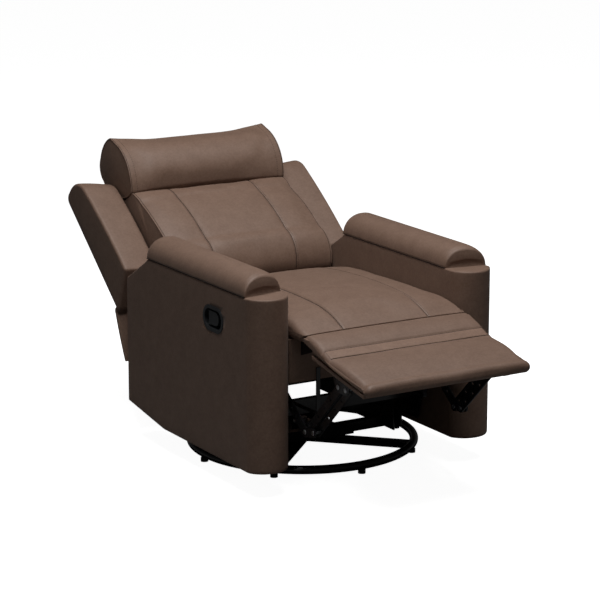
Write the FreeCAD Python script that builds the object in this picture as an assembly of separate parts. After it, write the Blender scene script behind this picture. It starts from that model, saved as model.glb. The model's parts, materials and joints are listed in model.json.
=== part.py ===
import FreeCAD, Part
import os
from math import cos, hypot, pi, radians, sin, sqrt

V = FreeCAD.Vector

# Swivel glider recliner, in millimetres, drawn with the back let down and the footrest out.
# Z is up, -Y is the front and -X is the sitter's right. The swivel turns about X = 0, Y = 0.
# Profiles are drawn in the YZ plane and pulled along X.

# Whole chair
CHAIR_WIDTH = 790.0
CHAIR_FRONT = -765.5          # nose of the footrest pad
SEAT_HALF = 263.0             # half width of the cushions
CUSHION_GAP = 5.0             # cushion to the arm beside it

# Arms
ARM_FRONT = -368.0            # where the rounded front starts
ARM_NOSE = 49.0               # how far the rounded front stands out
ARM_REAR = 341.5
ARM_TOP = 562.0
ARM_BOTTOM = 74.0
ARM_TOE_RADIUS = 9.0
ARM_TOP_BREAK = (202.5, 479.0)     # Y where the top turns down, Z where it meets the rear
ARM_HEEL_BREAK = (121.5, 108.0)    # Y where the bottom turns up, Z where it meets the rear
ARM_EDGE = 7.0
PAD_HEIGHT = 60.0
PAD_FRONT = -334.0            # foot of the roll at its inner front corner
PAD_SKEW = 22.0               # how much further forward the outer corner is
PAD_REAR = 215.0
PAD_END_DOME = 22.0

# Rear skirt between the arms
SKIRT = 12.0
SKIRT_BOTTOM = 104.0
SKIRT_TOP = 330.0

# Pull handle let into the outside of the right arm
HANDLE_AT = (-185.0, 468.0)
BEZEL_LENGTH = 114.0
BEZEL_HEIGHT = 73.0
BEZEL_RIM = 8.0
BEZEL_STAND = 2.5
CUP_DEPTH = 27.0
CUP_WALL = 2.0
PADDLE_LENGTH = 54.0
PADDLE_THICK = 7.0
PADDLE_HEIGHT = 39.0
PADDLE_INSET = 20.0           # rear end of the cup to the paddle's pin
PADDLE_PIN = 3.0

# Swivel base
RING_RADIUS = 326.5
RING_TUBE = 12.5
RING_FLATS = 12
RING_HEIGHT = 23.5
FOOT_RADIUS = 11.0
FOOT_COUNT = 8
SPOKE_WIDTH = 38.0
SPOKE_HEIGHT = 16.0
HUB_PLATE_RADIUS = 78.0
HUB_PLATE = 6.0
HUB_STEP = 14.0               # hub plate's edge to the washer's
NUT_FLANGE = 4.0
NUT_HEIGHT = 14.0
POST_RADIUS = 18.0
POST_TOP = 70.0
RUNNING_FIT = 0.05
WASHER = 3.0
COLLAR_RADIUS = 31.0

# Glider: a frame on the swivel, four hanging links, and the two rails that hang on them
SWIVEL_PLATE_HEIGHT = 52.0
SWIVEL_PLATE = 6.0
SWIVEL_PLATE_HALF = 95.0
CROSS_RAIL = 28.0
CROSS_RAIL_WALL = 3.0
CROSS_RAIL_SPREAD = 118.0
STEEL = 4.0
PLATE_GAP = 3.0
PLATE_FIT = 2.0               # between plates that lie side by side
BRACKET_WAIST = 125.0         # height of the bracket between its ears
BRACKET_EAR = 4.0             # wider than the link's round end
GLIDE_SPREAD = 150.0          # Y of the links, front and rear
GLIDE_TOP = 205.0
GLIDE_LENGTH = 110.0
GLIDE_BAR = 28.0
GLIDE_PIN = 6.0
GLIDE_RAIL_FRONT = -198.0      # short of the folded knees
GLIDE_RAIL_REAR = 262.0
RAIL_DROP = 20.0
MEMBER_DEPTH = 20.0           # box tube across the front
MEMBER_REAR = -204.0
MEMBER_LOW = 168.0
MEMBER_TOP = 210.0
MEMBER_WALL = 2.5

# Mechanism planes, as the inner X of each steel plate on the left side
SIDE_PLATE_X = SEAT_HALF - 11.0
THIGH_X = SIDE_PLATE_X - STEEL - PLATE_FIT
SHIN_X = THIGH_X - STEEL - PLATE_GAP
STAY_X = SHIN_X - STEEL - PLATE_GAP
HINGE_PLATE_X = STAY_X - STEEL - PLATE_FIT
BACK_BRACKET_X = THIGH_X
BRACKET_X = SIDE_PLATE_X - 52.0    # room for the hanging link and the glide rail

# Side plate
PLATE_EAR = 20.0
PLATE_HOLE = 30.0
PLATE_HOLES_Y = (-150.0, -30.0, 90.0)
PLATE_SHELF = -335.0          # front end of the plate under the seat rail
TUBE_BORE = 8.0
TUBE_RADIUS = 10.5
TUBES_AT = ((-190.0, 318.0), (246.0, 133.0), (120.0, 318.0))

# Pivots of the reclining and footrest linkage, (Y, Z)
RECLINE = (195.0, 355.0)
CHAISE = (-464.0, 428.0)
THIGH = (-290.0, 290.0)
KNEE = (-430.0, 185.0)
KNEE_FRONT = (-472.5, 192.0)
ANKLE = (-600.0, 352.0)
ANKLE_FRONT = (-637.2, 352.0)
LINK_PIN = 4.0
PIN_END = 0.5                 # a pin's end beyond the outermost plate
LINK_BAR = 26.0
OPEN_SLACK = 4.9              # play of the two pivots where the loops are left open
DRIVE_TUBE = 8.0
DRIVE_WALL = 3.0
SHIN_HOLE = 4.5
SHIN_HOLE_PITCH = 46.0
THIGH_HOLES = (60.0, 90.0, 120.0)  # along the long arm from the thigh pivot
THIGH_HOLE = 5.0

# Seat
SEAT_BOTTOM = 372.0
SEAT_EDGE_HIGH = 485.0
SEAT_CROWN = 31.0
SEAT_RAIL = 24.0
SEAT_RAIL_REAR = 140.0
HANGERS_Y = (-330.0, -120.0, 90.0)
HANGER_WIDTH = 30.0
STRAP_WIDTH = 12.0
STRAP_INSET = 20.0            # strap to the seat rail above it
STRAP_LAP = 35.0              # strap over the front rail
RAIL_FRONT = -376.0           # face of the upholstered front rail
RAIL_THICK = 20.0
RAIL_BOTTOM = 310.0
LIP_UNDERSIDE = 436.0         # underside of the cushion where it hangs over the front rail
ROLL_EDGE = 28.0              # radius of the chaise roll at the sides and at the middle
ROLL_MIDDLE = 45.0
ROLL_GAP = 3.0
ROLL_BORE = 14.0
SPRING_WIRE = 4.0
SPRING_SWING = 22.0
SPRING_TURNS = 12
SPRINGS_X = (-150.0, -50.0, 50.0, 150.0)
HINGE_EAR = 11.0
HINGE_STRAP = 23.0
HINGE_PIN_END = 4.0

# Footrest
BOARD_SLOPE = 0.1844
BOARD_AT = (-559.5, 389.0)    # a point on the underside
BOARD_THICK = 12.0
BOARD_REAR = -484.0
BOARD_FRONT = CHAIR_FRONT + 21.5
BUMPER_WIDTH = 23.0

# Back, let down at rest
SHELL_HALF = SEAT_HALF + CUSHION_GAP
WING_IN = SHELL_HALF + 2.0
WING_OUT = CHAIR_WIDTH / 2 - 7.0
SHELL_FRONT_AT = (338.0, 402.0)
SHELL_SLOPE = 0.798
BRACKET_BAR = 28.0
BRACKET_ELBOW = (352.0, 379.0)
BRACKET_TOP = (500.0, 497.0)
HEADREST_HALF = SEAT_HALF + 2.0


def outline(x, start, *steps):
    """Closed wire in the plane X = x. A step is a line's end (y, z) or an arc's (ym, zm, y, z)."""
    edges = []
    here = V(x, *start)
    for step in steps:
        end = V(x, *step[-2:])
        if len(step) == 2:
            edges.append(Part.makeLine(here, end))
        else:
            edges.append(Part.Arc(here, V(x, *step[:2]), end).toShape())
        here = end
    if here.distanceToPoint(V(x, *start)) > 1e-6:
        edges.append(Part.makeLine(here, V(x, *start)))
    return Part.Wire(edges)


def prism(x0, x1, start, *steps):
    """Solid of one YZ outline between two X planes."""
    return Part.Face(outline(x0, start, *steps)).extrude(V(x1 - x0, 0, 0))


def loft(sections):
    """Solid with straight rulings from each closed section to the next."""
    return Part.makeLoft(sections, True, True)


def block(x0, x1, y0, y1, z0, z1):
    return Part.makeBox(x1 - x0, y1 - y0, z1 - z0, V(x0, y0, z0))


def box_tube(half, y0, y1, z0, z1, wall):
    """Open-ended box tube along X."""
    bore = block(-half, half, y0 + wall, y1 - wall, z0 + wall, z1 - wall)
    return block(-half, half, y0, y1, z0, z1).cut(bore)


def rod(x0, x1, at, radius):
    """Round bar along X through the point at = (y, z)."""
    return Part.makeCylinder(radius, x1 - x0, V(x0, *at), V(1, 0, 0))


def round_tube(half, at, radius, bore):
    return rod(-half, half, at, radius).cut(rod(-half, half, at, bore))


def post(radius, z0, z1, x=0.0, y=0.0):
    return Part.makeCylinder(radius, z1 - z0, V(x, y, z0))


def other_side(shape):
    return shape.mirror(V(0, 0, 0), V(1, 0, 0))


def both_sides(shape):
    return Part.makeCompound([shape, other_side(shape)])


def drilled(shape, x, holes):
    """Cut round holes along X, each ((y, z), radius), through one steel plate at x."""
    for at, radius in holes:
        shape = shape.cut(rod(x - 1, x + STEEL + 1, at, radius))
    return shape


def bar(x, a, b, width, holes=()):
    """Flat steel link between pivots a and b, with round ends, its inner face at x."""
    length = hypot(b[0] - a[0], b[1] - a[1])
    uy, uz = (b[0] - a[0]) / length * width / 2, (b[1] - a[1]) / length * width / 2
    body = prism(x, x + STEEL,
                 (a[0] - uz, a[1] + uy), (b[0] - uz, b[1] + uy),
                 (b[0] + uy, b[1] + uz, b[0] + uz, b[1] - uy),
                 (a[0] + uz, a[1] - uy),
                 (a[0] - uy, a[1] - uz, a[0] - uz, a[1] + uy))
    return drilled(body, x, holes)


def along(a, b, distance):
    """Point on the line from a to b at a distance from a."""
    share = distance / hypot(b[0] - a[0], b[1] - a[1])
    return (a[0] + share * (b[0] - a[0]), a[1] + share * (b[1] - a[1]))


def pins_both_sides(pins):
    """Pivot pins, each given as x0, x1, (y, z), radius, and the same ones mirrored."""
    rods = [rod(*pin) for pin in pins]
    return Part.makeCompound(rods + [other_side(one) for one in rods])


def export(name, shape):
    shape.exportStep("parts/" + name + ".step")
    return shape


def export_pair(name, shape):
    export(name + "_left", shape)
    export(name + "_right", other_side(shape))


def crown(x, half=SEAT_HALF):
    """Height of a stuffed cushion across its width, 0 at the sides and 1 at the middle."""
    return 1.0 - abs(x / half) ** 2.5


# Swivel base

def base_ring():
    """Ring of round tube, the tube's section drawn with flats."""
    corners = []
    for i in range(RING_FLATS):
        turn = 2 * pi * (i + 0.5) / RING_FLATS
        corners.append(V(RING_RADIUS + RING_TUBE * cos(turn), 0, RING_HEIGHT + RING_TUBE * sin(turn)))
    section = Part.Face(Part.makePolygon(corners + corners[:1]))
    return section.revolve(V(0, 0, 0), V(0, 0, 1), 360)


def base_feet():
    """Rubber pucks under the ring, up to the lowest flat of its tube."""
    top = RING_HEIGHT - RING_TUBE * cos(pi / RING_FLATS)
    feet = []
    for i in range(FOOT_COUNT):
        turn = 2 * pi * i / FOOT_COUNT
        feet.append(post(FOOT_RADIUS, 0, top, RING_RADIUS * cos(turn), RING_RADIUS * sin(turn)))
    return Part.makeCompound(feet)


def base_spokes(ring):
    """Two crossed bars from ring to ring, joined at the middle."""
    reach = RING_RADIUS
    low = RING_HEIGHT - SPOKE_HEIGHT / 2
    one = block(-reach, reach, -SPOKE_WIDTH / 2, SPOKE_WIDTH / 2, low, low + SPOKE_HEIGHT)
    arms = [one.copy(), one.copy()]
    arms[0].rotate(V(0, 0, 0), V(0, 0, 1), 45)
    arms[1].rotate(V(0, 0, 0), V(0, 0, 1), -45)
    return arms[0].fuse(arms[1]).removeSplitter().cut(ring)


def hub_floor():
    return RING_HEIGHT + SPOKE_HEIGHT / 2


def swivel_hub():
    """Plate on the spokes with the fixed post that the chair turns on."""
    low = hub_floor()
    hub = post(HUB_PLATE_RADIUS, low, low + HUB_PLATE)
    return hub.fuse(post(POST_RADIUS, low + HUB_PLATE, POST_TOP)).removeSplitter()


def swivel_washer():
    low = hub_floor() + HUB_PLATE
    ring = post(HUB_PLATE_RADIUS - HUB_STEP, low, low + WASHER)
    return ring.cut(post(POST_RADIUS, low, low + WASHER))


def swivel_nut():
    """Flanged cap on the post, above the collar that turns."""
    low = POST_TOP
    flange = post(COLLAR_RADIUS - NUT_FLANGE, low, low + NUT_FLANGE)
    return flange.fuse(post(POST_RADIUS - NUT_FLANGE, low + NUT_FLANGE, low + NUT_HEIGHT)).removeSplitter()


# Glider frame on the swivel

def swivel_collar():
    """Turning half of the bearing: a flange on the washer and the collar round the post."""
    low = hub_floor() + HUB_PLATE + WASHER + 0.5
    top = POST_TOP - 0.6
    collar = post(HUB_PLATE_RADIUS - 8, low, SWIVEL_PLATE_HEIGHT).fuse(post(COLLAR_RADIUS, low, top))
    return collar.removeSplitter().cut(post(POST_RADIUS + RUNNING_FIT, low - 1, top + 1))


def swivel_plate():
    """Plate on the collar's flange that carries both cross rails."""
    half = CROSS_RAIL_SPREAD + CROSS_RAIL / 2
    x = SWIVEL_PLATE_HALF
    plate = block(-x, x, -half, half, SWIVEL_PLATE_HEIGHT, SWIVEL_PLATE_HEIGHT + SWIVEL_PLATE)
    return plate.cut(post(COLLAR_RADIUS, SWIVEL_PLATE_HEIGHT - 1, POST_TOP))


def glider_cross_rails():
    low = SWIVEL_PLATE_HEIGHT + SWIVEL_PLATE
    rails = []
    for y in (-CROSS_RAIL_SPREAD, CROSS_RAIL_SPREAD):
        rails.append(box_tube(BRACKET_X, y - CROSS_RAIL / 2, y + CROSS_RAIL / 2, low, low + CROSS_RAIL,
                              CROSS_RAIL_WALL))
    return Part.makeCompound(rails)


def glider_bracket():
    """Upright side plate with a round ear over each pair of glide links."""
    ear = GLIDE_BAR / 2 + BRACKET_EAR
    low = SWIVEL_PLATE_HEIGHT + SWIVEL_PLATE
    spread = GLIDE_SPREAD
    reach = spread + ear + GLIDE_BAR / 2
    plate = prism(BRACKET_X, BRACKET_X + STEEL,
                  (-reach, low), (reach, low),
                  (spread + ear, GLIDE_TOP),
                  (spread, GLIDE_TOP + ear, spread - ear, GLIDE_TOP),
                  (spread - 2 * ear, BRACKET_WAIST), (-spread + 2 * ear, BRACKET_WAIST),
                  (-spread + ear, GLIDE_TOP),
                  (-spread, GLIDE_TOP + ear, -spread - ear, GLIDE_TOP))
    holes = [((-spread, GLIDE_TOP), GLIDE_PIN), ((spread, GLIDE_TOP), GLIDE_PIN)]
    return drilled(plate, BRACKET_X, holes)


def glide_link_x():
    return BRACKET_X + STEEL + PLATE_GAP


def glide_link(y):
    """Hanging link: its top turns on the swivel frame and its foot carries the chair."""
    foot = GLIDE_TOP - GLIDE_LENGTH
    fit = GLIDE_PIN + RUNNING_FIT
    return bar(glide_link_x(), (y, GLIDE_TOP), (y, foot), GLIDE_BAR, [((y, GLIDE_TOP), fit), ((y, foot), fit)])


def glide_pins(z, x0, x1):
    """Four pins at one height, from x0 to x1 on each side."""
    return pins_both_sides([(x0, x1, (y, z), GLIDE_PIN) for y in (-GLIDE_SPREAD, GLIDE_SPREAD)])


def glide_rail_x():
    return glide_link_x() + STEEL + PLATE_GAP


def glide_rail():
    """Angle iron hung on the links, its flange reaching out to the side plate."""
    x = glide_rail_x()
    foot = GLIDE_TOP - GLIDE_LENGTH
    low, high = foot - RAIL_DROP, foot + RAIL_DROP + 5
    leg = block(x, x + STEEL, GLIDE_RAIL_FRONT, GLIDE_RAIL_REAR, low, high)
    flange = block(x, SIDE_PLATE_X, GLIDE_RAIL_FRONT, GLIDE_RAIL_REAR, high - STEEL, high)
    rail = leg.fuse(flange).removeSplitter()
    return drilled(rail, x, [((-GLIDE_SPREAD, foot), GLIDE_PIN), ((GLIDE_SPREAD, foot), GLIDE_PIN)])


# Carriage: side plates, cross tubes and seat frame

def side_plate():
    """Main plate of the mechanism, from the glide rail up to the recline and thigh pivots."""
    foot = GLIDE_TOP - GLIDE_LENGTH
    ear = PLATE_EAR
    (ry, rz), (ty, tz) = RECLINE, THIGH
    shelf = rz - 12
    plate = prism(SIDE_PLATE_X, SIDE_PLATE_X + STEEL,
                  (GLIDE_RAIL_FRONT - 30, foot + 2), (GLIDE_RAIL_REAR, foot + 2),
                  (GLIDE_RAIL_REAR, foot + 45), (ry + ear, rz - 60), (ry + ear, rz),
                  (ry, rz + ear, ry - ear, rz),
                  (ry - ear - 8, shelf), (PLATE_SHELF, shelf), (PLATE_SHELF, shelf - 30),
                  (ty - ear, tz), (ty - ear * 0.7, tz - ear * 0.7, ty, tz - ear),
                  (GLIDE_RAIL_FRONT - 60, foot + 120))
    holes = [(RECLINE, GLIDE_PIN), (THIGH, GLIDE_PIN)]
    holes += [((y, foot + 100), PLATE_HOLE) for y in PLATE_HOLES_Y]
    return drilled(plate, SIDE_PLATE_X, holes)


def cross_tubes():
    """Three round tubes tie the side plates: under the seat's front and rear, and at the heel."""
    return Part.makeCompound([round_tube(SIDE_PLATE_X, at, TUBE_RADIUS, TUBE_BORE) for at in TUBES_AT])


def cross_member():
    """Box tube across the front, ahead of the glider's brackets."""
    return box_tube(SIDE_PLATE_X, MEMBER_REAR - MEMBER_DEPTH, MEMBER_REAR, MEMBER_LOW, MEMBER_TOP, MEMBER_WALL)


def carriage_pins():
    """Recline and thigh pins, fixed in the side plates."""
    outer = SIDE_PLATE_X + STEEL + PIN_END
    return pins_both_sides([(BACK_BRACKET_X - PIN_END, outer, RECLINE, GLIDE_PIN),
                            (THIGH_X - PIN_END, outer, THIGH, GLIDE_PIN)])


def seat_rails():
    """Long rails of the seat frame, on top of the side plates' inner faces."""
    x1 = HINGE_PLATE_X - 1
    front = RAIL_FRONT + RAIL_THICK
    return block(x1 - SEAT_RAIL, x1, front, SEAT_RAIL_REAR, SEAT_BOTTOM - SEAT_RAIL, SEAT_BOTTOM)


def seat_cross_rail(y0):
    half = HINGE_PLATE_X - 1 - SEAT_RAIL
    return block(-half, half, y0, y0 + SEAT_RAIL, SEAT_BOTTOM - SEAT_RAIL, SEAT_BOTTOM)


def seat_hanger():
    """Steel outrigger that carries the seat rail from the side plate."""
    x0 = HINGE_PLATE_X - 1 - SEAT_RAIL
    low = SEAT_BOTTOM - SEAT_RAIL - STEEL
    return [block(x0, SIDE_PLATE_X, y, y + HANGER_WIDTH, low, low + STEEL) for y in HANGERS_Y]


def sinuous_spring(x, front, rear, low, high):
    """Flat zigzag wire: bars across, joined at alternate ends, and a short tail at each rail."""
    pitch = (rear - front) / SPRING_TURNS
    w = SPRING_WIRE / 2
    swing = SPRING_SWING
    wires = []
    for i in range(SPRING_TURNS):
        y = front + (i + 0.5) * pitch
        wires.append(block(x - swing, x + swing, y - w, y + w, low, high))
        if i < SPRING_TURNS - 1:
            side = x + (swing - w if i % 2 else w - swing)
            wires.append(block(side - w, side + w, y - w, y + pitch + w, low, high))
    for y0, y1 in ((front, front + 0.5 * pitch), (rear - 0.5 * pitch, rear)):
        wires.append(block(x - w, x + w, y0, y1, low, high))
    return wires[0].fuse(wires[1:]).removeSplitter()


def seat_springs():
    """Sinuous springs from the front to the rear cross rail, just below the cushion."""
    front, rear = RAIL_FRONT + RAIL_THICK + SEAT_RAIL, SEAT_RAIL_REAR - SEAT_RAIL
    high = SEAT_BOTTOM - 1
    return Part.makeCompound([sinuous_spring(x, front, rear, high - SPRING_WIRE, high) for x in SPRINGS_X])


def roll_radius(x):
    return ROLL_EDGE + (ROLL_MIDDLE - ROLL_EDGE) * crown(x)


def around(centre, radius, degrees_up):
    """Point on a circle in the YZ plane, its angle counted from the rear towards the top."""
    turn = radians(degrees_up)
    return (centre[0] + radius * cos(turn), centre[1] + radius * sin(turn))


def seat_section(x, draw=0.0):
    """Seat cushion outline at one X. draw pulls the outline in, as at the stuffed sides."""
    c = crown(x)
    hollow = roll_radius(x) + ROLL_GAP
    rise = SEAT_CROWN * c - draw
    high = SEAT_EDGE_HIGH
    lip = LIP_UNDERSIDE
    lip_y = CHAISE[0] + sqrt(hollow ** 2 - (lip - CHAISE[1]) ** 2)
    hip = RAIL_FRONT + RAIL_THICK + 1
    return outline(x, (lip_y, lip),
                   (*around(CHAISE, hollow, 40), *around(CHAISE, hollow, 66)),
                   (-385.0, high - 11 + rise * 0.75, -320.0, high - 5 + rise),
                   (-110.0, high + rise, 103.0, high - 10 + rise * 0.75),
                   (180.0, high - 24 + rise * 0.4, 234.0, high - 43 + rise * 0.3),
                   (238.0, high - 55), (150.0, SEAT_BOTTOM), (hip, SEAT_BOTTOM), (hip, lip))


def stuffed(section, half=SEAT_HALF, draw=9.0):
    """Cushion lofted across X: crowned in the middle, its outline drawn in at both sides."""
    stations = (half, half * 0.93, half * 0.6)
    sections = [section(-x, draw if i == 0 else 0.0) for i, x in enumerate(stations)]
    sections.append(section(0.0, 0.0))
    sections += [section(x, draw if i == 2 else 0.0) for i, x in enumerate(reversed(stations))]
    return loft(sections)


def front_rail():
    half = SEAT_HALF + CUSHION_GAP - 1
    return block(-half, half, RAIL_FRONT, RAIL_FRONT + RAIL_THICK, RAIL_BOTTOM, LIP_UNDERSIDE - 1)


def hinge_plate():
    """Steel arm from the front rail out to the chaise hinge."""
    (cy, cz) = CHAISE
    root = RAIL_FRONT
    r = HINGE_EAR
    plate = prism(HINGE_PLATE_X, HINGE_PLATE_X + STEEL,
                  (root, cz - 42), (root, cz + 4), (cy + 2, cz + r - 2),
                  (cy - r, cz, cy + 2, cz - r))
    return drilled(plate, HINGE_PLATE_X, [(CHAISE, LINK_PIN)])


def hinge_pins():
    inner = HINGE_PLATE_X - PLATE_GAP - HINGE_STRAP
    return pins_both_sides([(inner - HINGE_PIN_END, HINGE_PLATE_X + STEEL, CHAISE, LINK_PIN)])


def front_strap():
    """Flat brace on the face of the front rail, bent back under it onto the cross member."""
    x1 = HINGE_PLATE_X - SEAT_RAIL - STRAP_INSET
    x0 = x1 - STRAP_WIDTH
    top = MEMBER_TOP
    upright = block(x0, x1, RAIL_FRONT - STEEL, RAIL_FRONT, top, RAIL_BOTTOM + STRAP_LAP)
    foot = block(x0, x1, RAIL_FRONT - STEEL, MEMBER_REAR - 4, top, top + STEEL)
    return upright.fuse(foot).removeSplitter()


def rear_skirt():
    """Upholstered panel that closes the rear between the arms, below the back."""
    half = SEAT_HALF + CUSHION_GAP - 1
    rear = ARM_REAR - 4.5
    return block(-half, half, rear - SKIRT, rear, SKIRT_BOTTOM, SKIRT_TOP)


# Arms

def arm_blank():
    """Left arm: plan with a rounded front, cut to the side profile."""
    x0, x1 = SEAT_HALF + CUSHION_GAP, CHAIR_WIDTH / 2
    mid = (x0 + x1) / 2
    plan = Part.Wire([
        Part.makeLine(V(x0, ARM_REAR, 0), V(x0, ARM_FRONT, 0)),
        Part.Arc(V(x0, ARM_FRONT, 0), V(mid, ARM_FRONT - ARM_NOSE, 0), V(x1, ARM_FRONT, 0)).toShape(),
        Part.makeLine(V(x1, ARM_FRONT, 0), V(x1, ARM_REAR, 0)),
        Part.makeLine(V(x1, ARM_REAR, 0), V(x0, ARM_REAR, 0))])
    column = Part.Face(plan).extrude(V(0, 0, ARM_TOP))
    nose = ARM_FRONT - ARM_NOSE - 1
    toe = ARM_TOE_RADIUS
    side = prism(x0 - 1, x1 + 1,
                 (nose, ARM_BOTTOM + toe),
                 (nose + toe * 0.29, ARM_BOTTOM + toe * 0.29, nose + toe, ARM_BOTTOM),
                 (ARM_HEEL_BREAK[0], ARM_BOTTOM), (ARM_REAR, ARM_HEEL_BREAK[1]),
                 (ARM_REAR, ARM_TOP_BREAK[1] - 12),
                 (ARM_REAR - 3, ARM_TOP_BREAK[1], ARM_REAR - 14, ARM_TOP_BREAK[1] + 8.4),
                 (ARM_TOP_BREAK[0], ARM_TOP), (nose, ARM_TOP))
    return column.common(side)


def arm_left():
    blank = arm_blank()
    outer = CHAIR_WIDTH / 2
    edges = [e for e in blank.Edges
             if abs(e.BoundBox.XMin - outer) < 0.01 and abs(e.BoundBox.XMax - outer) < 0.01
             and e.BoundBox.YMin > ARM_FRONT + 20 and e.BoundBox.ZMin < ARM_TOP - 1]
    return blank.makeFillet(ARM_EDGE, edges)


def handle_oval(x0, x1, grow):
    """Rounded oblong about the handle's centre, grown by a margin on every side."""
    (cy, cz) = HANDLE_AT
    half = BEZEL_LENGTH / 2 + grow
    r = BEZEL_HEIGHT / 2 + grow
    flat = half - r * 0.8
    return prism(x0, x1, (cy - flat, cz + r), (cy + flat, cz + r),
                 (cy + half, cz, cy + flat, cz - r), (cy - flat, cz - r),
                 (cy - half, cz, cy - flat, cz + r))


def handle_bezel():
    """Moulded cup with a flat rim, sunk in the arm's outer face."""
    face = -CHAIR_WIDTH / 2
    rim = handle_oval(face - BEZEL_STAND, face, 0)
    cup = handle_oval(face, face + CUP_DEPTH, -BEZEL_RIM)
    inside = handle_oval(face - BEZEL_STAND - 1, face + CUP_DEPTH - CUP_WALL, -BEZEL_RIM - CUP_WALL)
    body = rim.fuse(cup).removeSplitter().cut(inside)
    (cy, cz) = HANDLE_AT
    pin_y = cy + BEZEL_LENGTH / 2 - BEZEL_RIM - PADDLE_INSET
    reach = BEZEL_HEIGHT / 2 - BEZEL_RIM - CUP_WALL * 1.7
    pin = Part.makeCylinder(PADDLE_PIN, 2 * reach, V(face + 8, pin_y, cz - reach))
    return body.fuse(pin), pin_y


def handle_paddle(pin_y):
    """D-shaped paddle that swings out about the upright pin at its rear edge."""
    face = -CHAIR_WIDTH / 2
    (cy, cz) = HANDLE_AT
    half = PADDLE_HEIGHT / 2
    front = pin_y - PADDLE_LENGTH
    slab = prism(face + 2, face + 2 + PADDLE_THICK, (pin_y, cz - half), (pin_y, cz + half),
                 (front + 16, cz + half), (front, cz, front + 16, cz - half))
    barrel = Part.makeCylinder(PADDLE_PIN + 3, 2 * half, V(face + 8, pin_y, cz - half))
    paddle = slab.fuse(barrel).removeSplitter()
    return paddle.cut(Part.makeCylinder(PADDLE_PIN + RUNNING_FIT, 4 * half, V(face + 8, pin_y, cz - 2 * half)))


def arm_right(left):
    """The same arm mirrored, with the pocket that the handle's cup sits in."""
    return other_side(left).cut(handle_oval(-CHAIR_WIDTH / 2 - 1, -CHAIR_WIDTH / 2 + CUP_DEPTH, -BEZEL_RIM))


def arm_pad():
    """Half-round roll along the arm. Its front end slopes down and is drawn out at the outer corner."""
    x0, x1 = SEAT_HALF + CUSHION_GAP, CHAIR_WIDTH / 2
    mid = (x0 + x1) / 2

    def arch(y, inset, drop, skew=0.0):
        a, b = V(x0 + inset, y, ARM_TOP), V(x1 - inset, y - skew, ARM_TOP)
        top = V(mid, y - skew / 2, ARM_TOP + PAD_HEIGHT - drop)
        return Part.Wire([Part.Arc(a, top, b).toShape(), Part.makeLine(b, a)])

    dome, skew = PAD_END_DOME, PAD_SKEW
    front = [arch(PAD_FRONT, 5.0, 26.0, skew), arch(PAD_FRONT + 0.3 * dome, 1.0, 12.0, skew),
             arch(PAD_FRONT + dome, 0.3, 5.0, 0.7 * skew), arch(PAD_FRONT + 2.5 * dome, 0.3, 0.0)]
    rear = [arch(PAD_REAR - 1.2 * dome, 0.3, 1.0), arch(PAD_REAR - 0.3 * dome, 1.0, 6.0),
            arch(PAD_REAR, 4.0, 16.0)]
    return loft(front + rear)


# Footrest

def board_underside(y):
    return BOARD_AT[1] + BOARD_SLOPE * (y - BOARD_AT[0])


def footrest_board():
    top = BOARD_THICK * sqrt(1 + BOARD_SLOPE ** 2)
    r, f = BOARD_REAR, BOARD_FRONT
    half = SEAT_HALF - 1
    return prism(-half, half, (r, board_underside(r)), (f, board_underside(f)),
                 (f, board_underside(f) + top), (r, board_underside(r) + top))


def pad_section(x, draw=0.0):
    """Footrest pad outline at one X: the roll over the hinge, the top and the rounded nose."""
    c = crown(x)
    roll = roll_radius(x) - draw * 0.4
    lift = BOARD_THICK * sqrt(1 + BOARD_SLOPE ** 2) + 0.5
    r, f = BOARD_REAR, BOARD_FRONT - 0.5
    low = board_underside(f) + 4.0
    middle = (CHAISE[0] + CHAIR_FRONT) / 2
    return outline(x, (r, board_underside(r) + lift),
                   (*around(CHAISE, ROLL_BORE, 170), *around(CHAISE, ROLL_BORE, 90)),
                   around(CHAISE, roll, 22),
                   (*around(CHAISE, roll, 50), *around(CHAISE, roll, 88)),
                   (middle, low + 61.0 + 18 * c - draw, CHAIR_FRONT + 27.5, low + 27.0 + 8 * c - draw),
                   (CHAIR_FRONT + draw, low + 13.0, CHAIR_FRONT + 15.5, low),
                   (f, low), (f, board_underside(f) + lift))


def footrest_bracket():
    """Plate under the board that the two shin bars hang from."""
    (ay, az), (fy, fz) = ANKLE, ANKLE_FRONT
    r = LINK_BAR / 2 + 1
    rear, front = ay + 30.0, fy - 30.0
    plate = prism(THIGH_X, THIGH_X + STEEL,
                  (rear, board_underside(rear)), (front, board_underside(front)),
                  (fy - r, fz), (fy - 0.7 * r, fz - 0.7 * r, fy, fz - r), (ay, az - r),
                  (ay + 0.7 * r, az - 0.7 * r, ay + r, az))
    return drilled(plate, THIGH_X, [(ANKLE, LINK_PIN), (ANKLE_FRONT, LINK_PIN)])


def footrest_hinge():
    """Strap screwed under the board, bent up behind it to the knuckle on the hinge pin."""
    (cy, cz) = CHAISE
    x1 = HINGE_PLATE_X - PLATE_GAP
    x0 = x1 - HINGE_STRAP
    r = ROLL_BORE - 5
    rear = BOARD_REAR + 0.5
    a, b = board_underside(rear), board_underside(rear - 60)
    strap = prism(x0, x1, (rear - 60, b), (rear - 60, b - STEEL), (rear + 5, a - STEEL), (cy + 2, cz - r),
                  (cy, cz), (cy - 0.8 * r, cz - 0.6 * r), (rear + 0.4, a + 9), (rear + 0.4, a))
    return strap.fuse(rod(x0, x1, CHAISE, r)).removeSplitter().cut(rod(x0, x1, CHAISE, LINK_PIN + RUNNING_FIT))


def footrest_pins():
    outer = THIGH_X + STEEL
    return pins_both_sides([(SHIN_X - PIN_END, outer, ANKLE, LINK_PIN),
                            (STAY_X - PIN_END, outer, ANKLE_FRONT, LINK_PIN)])


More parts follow.
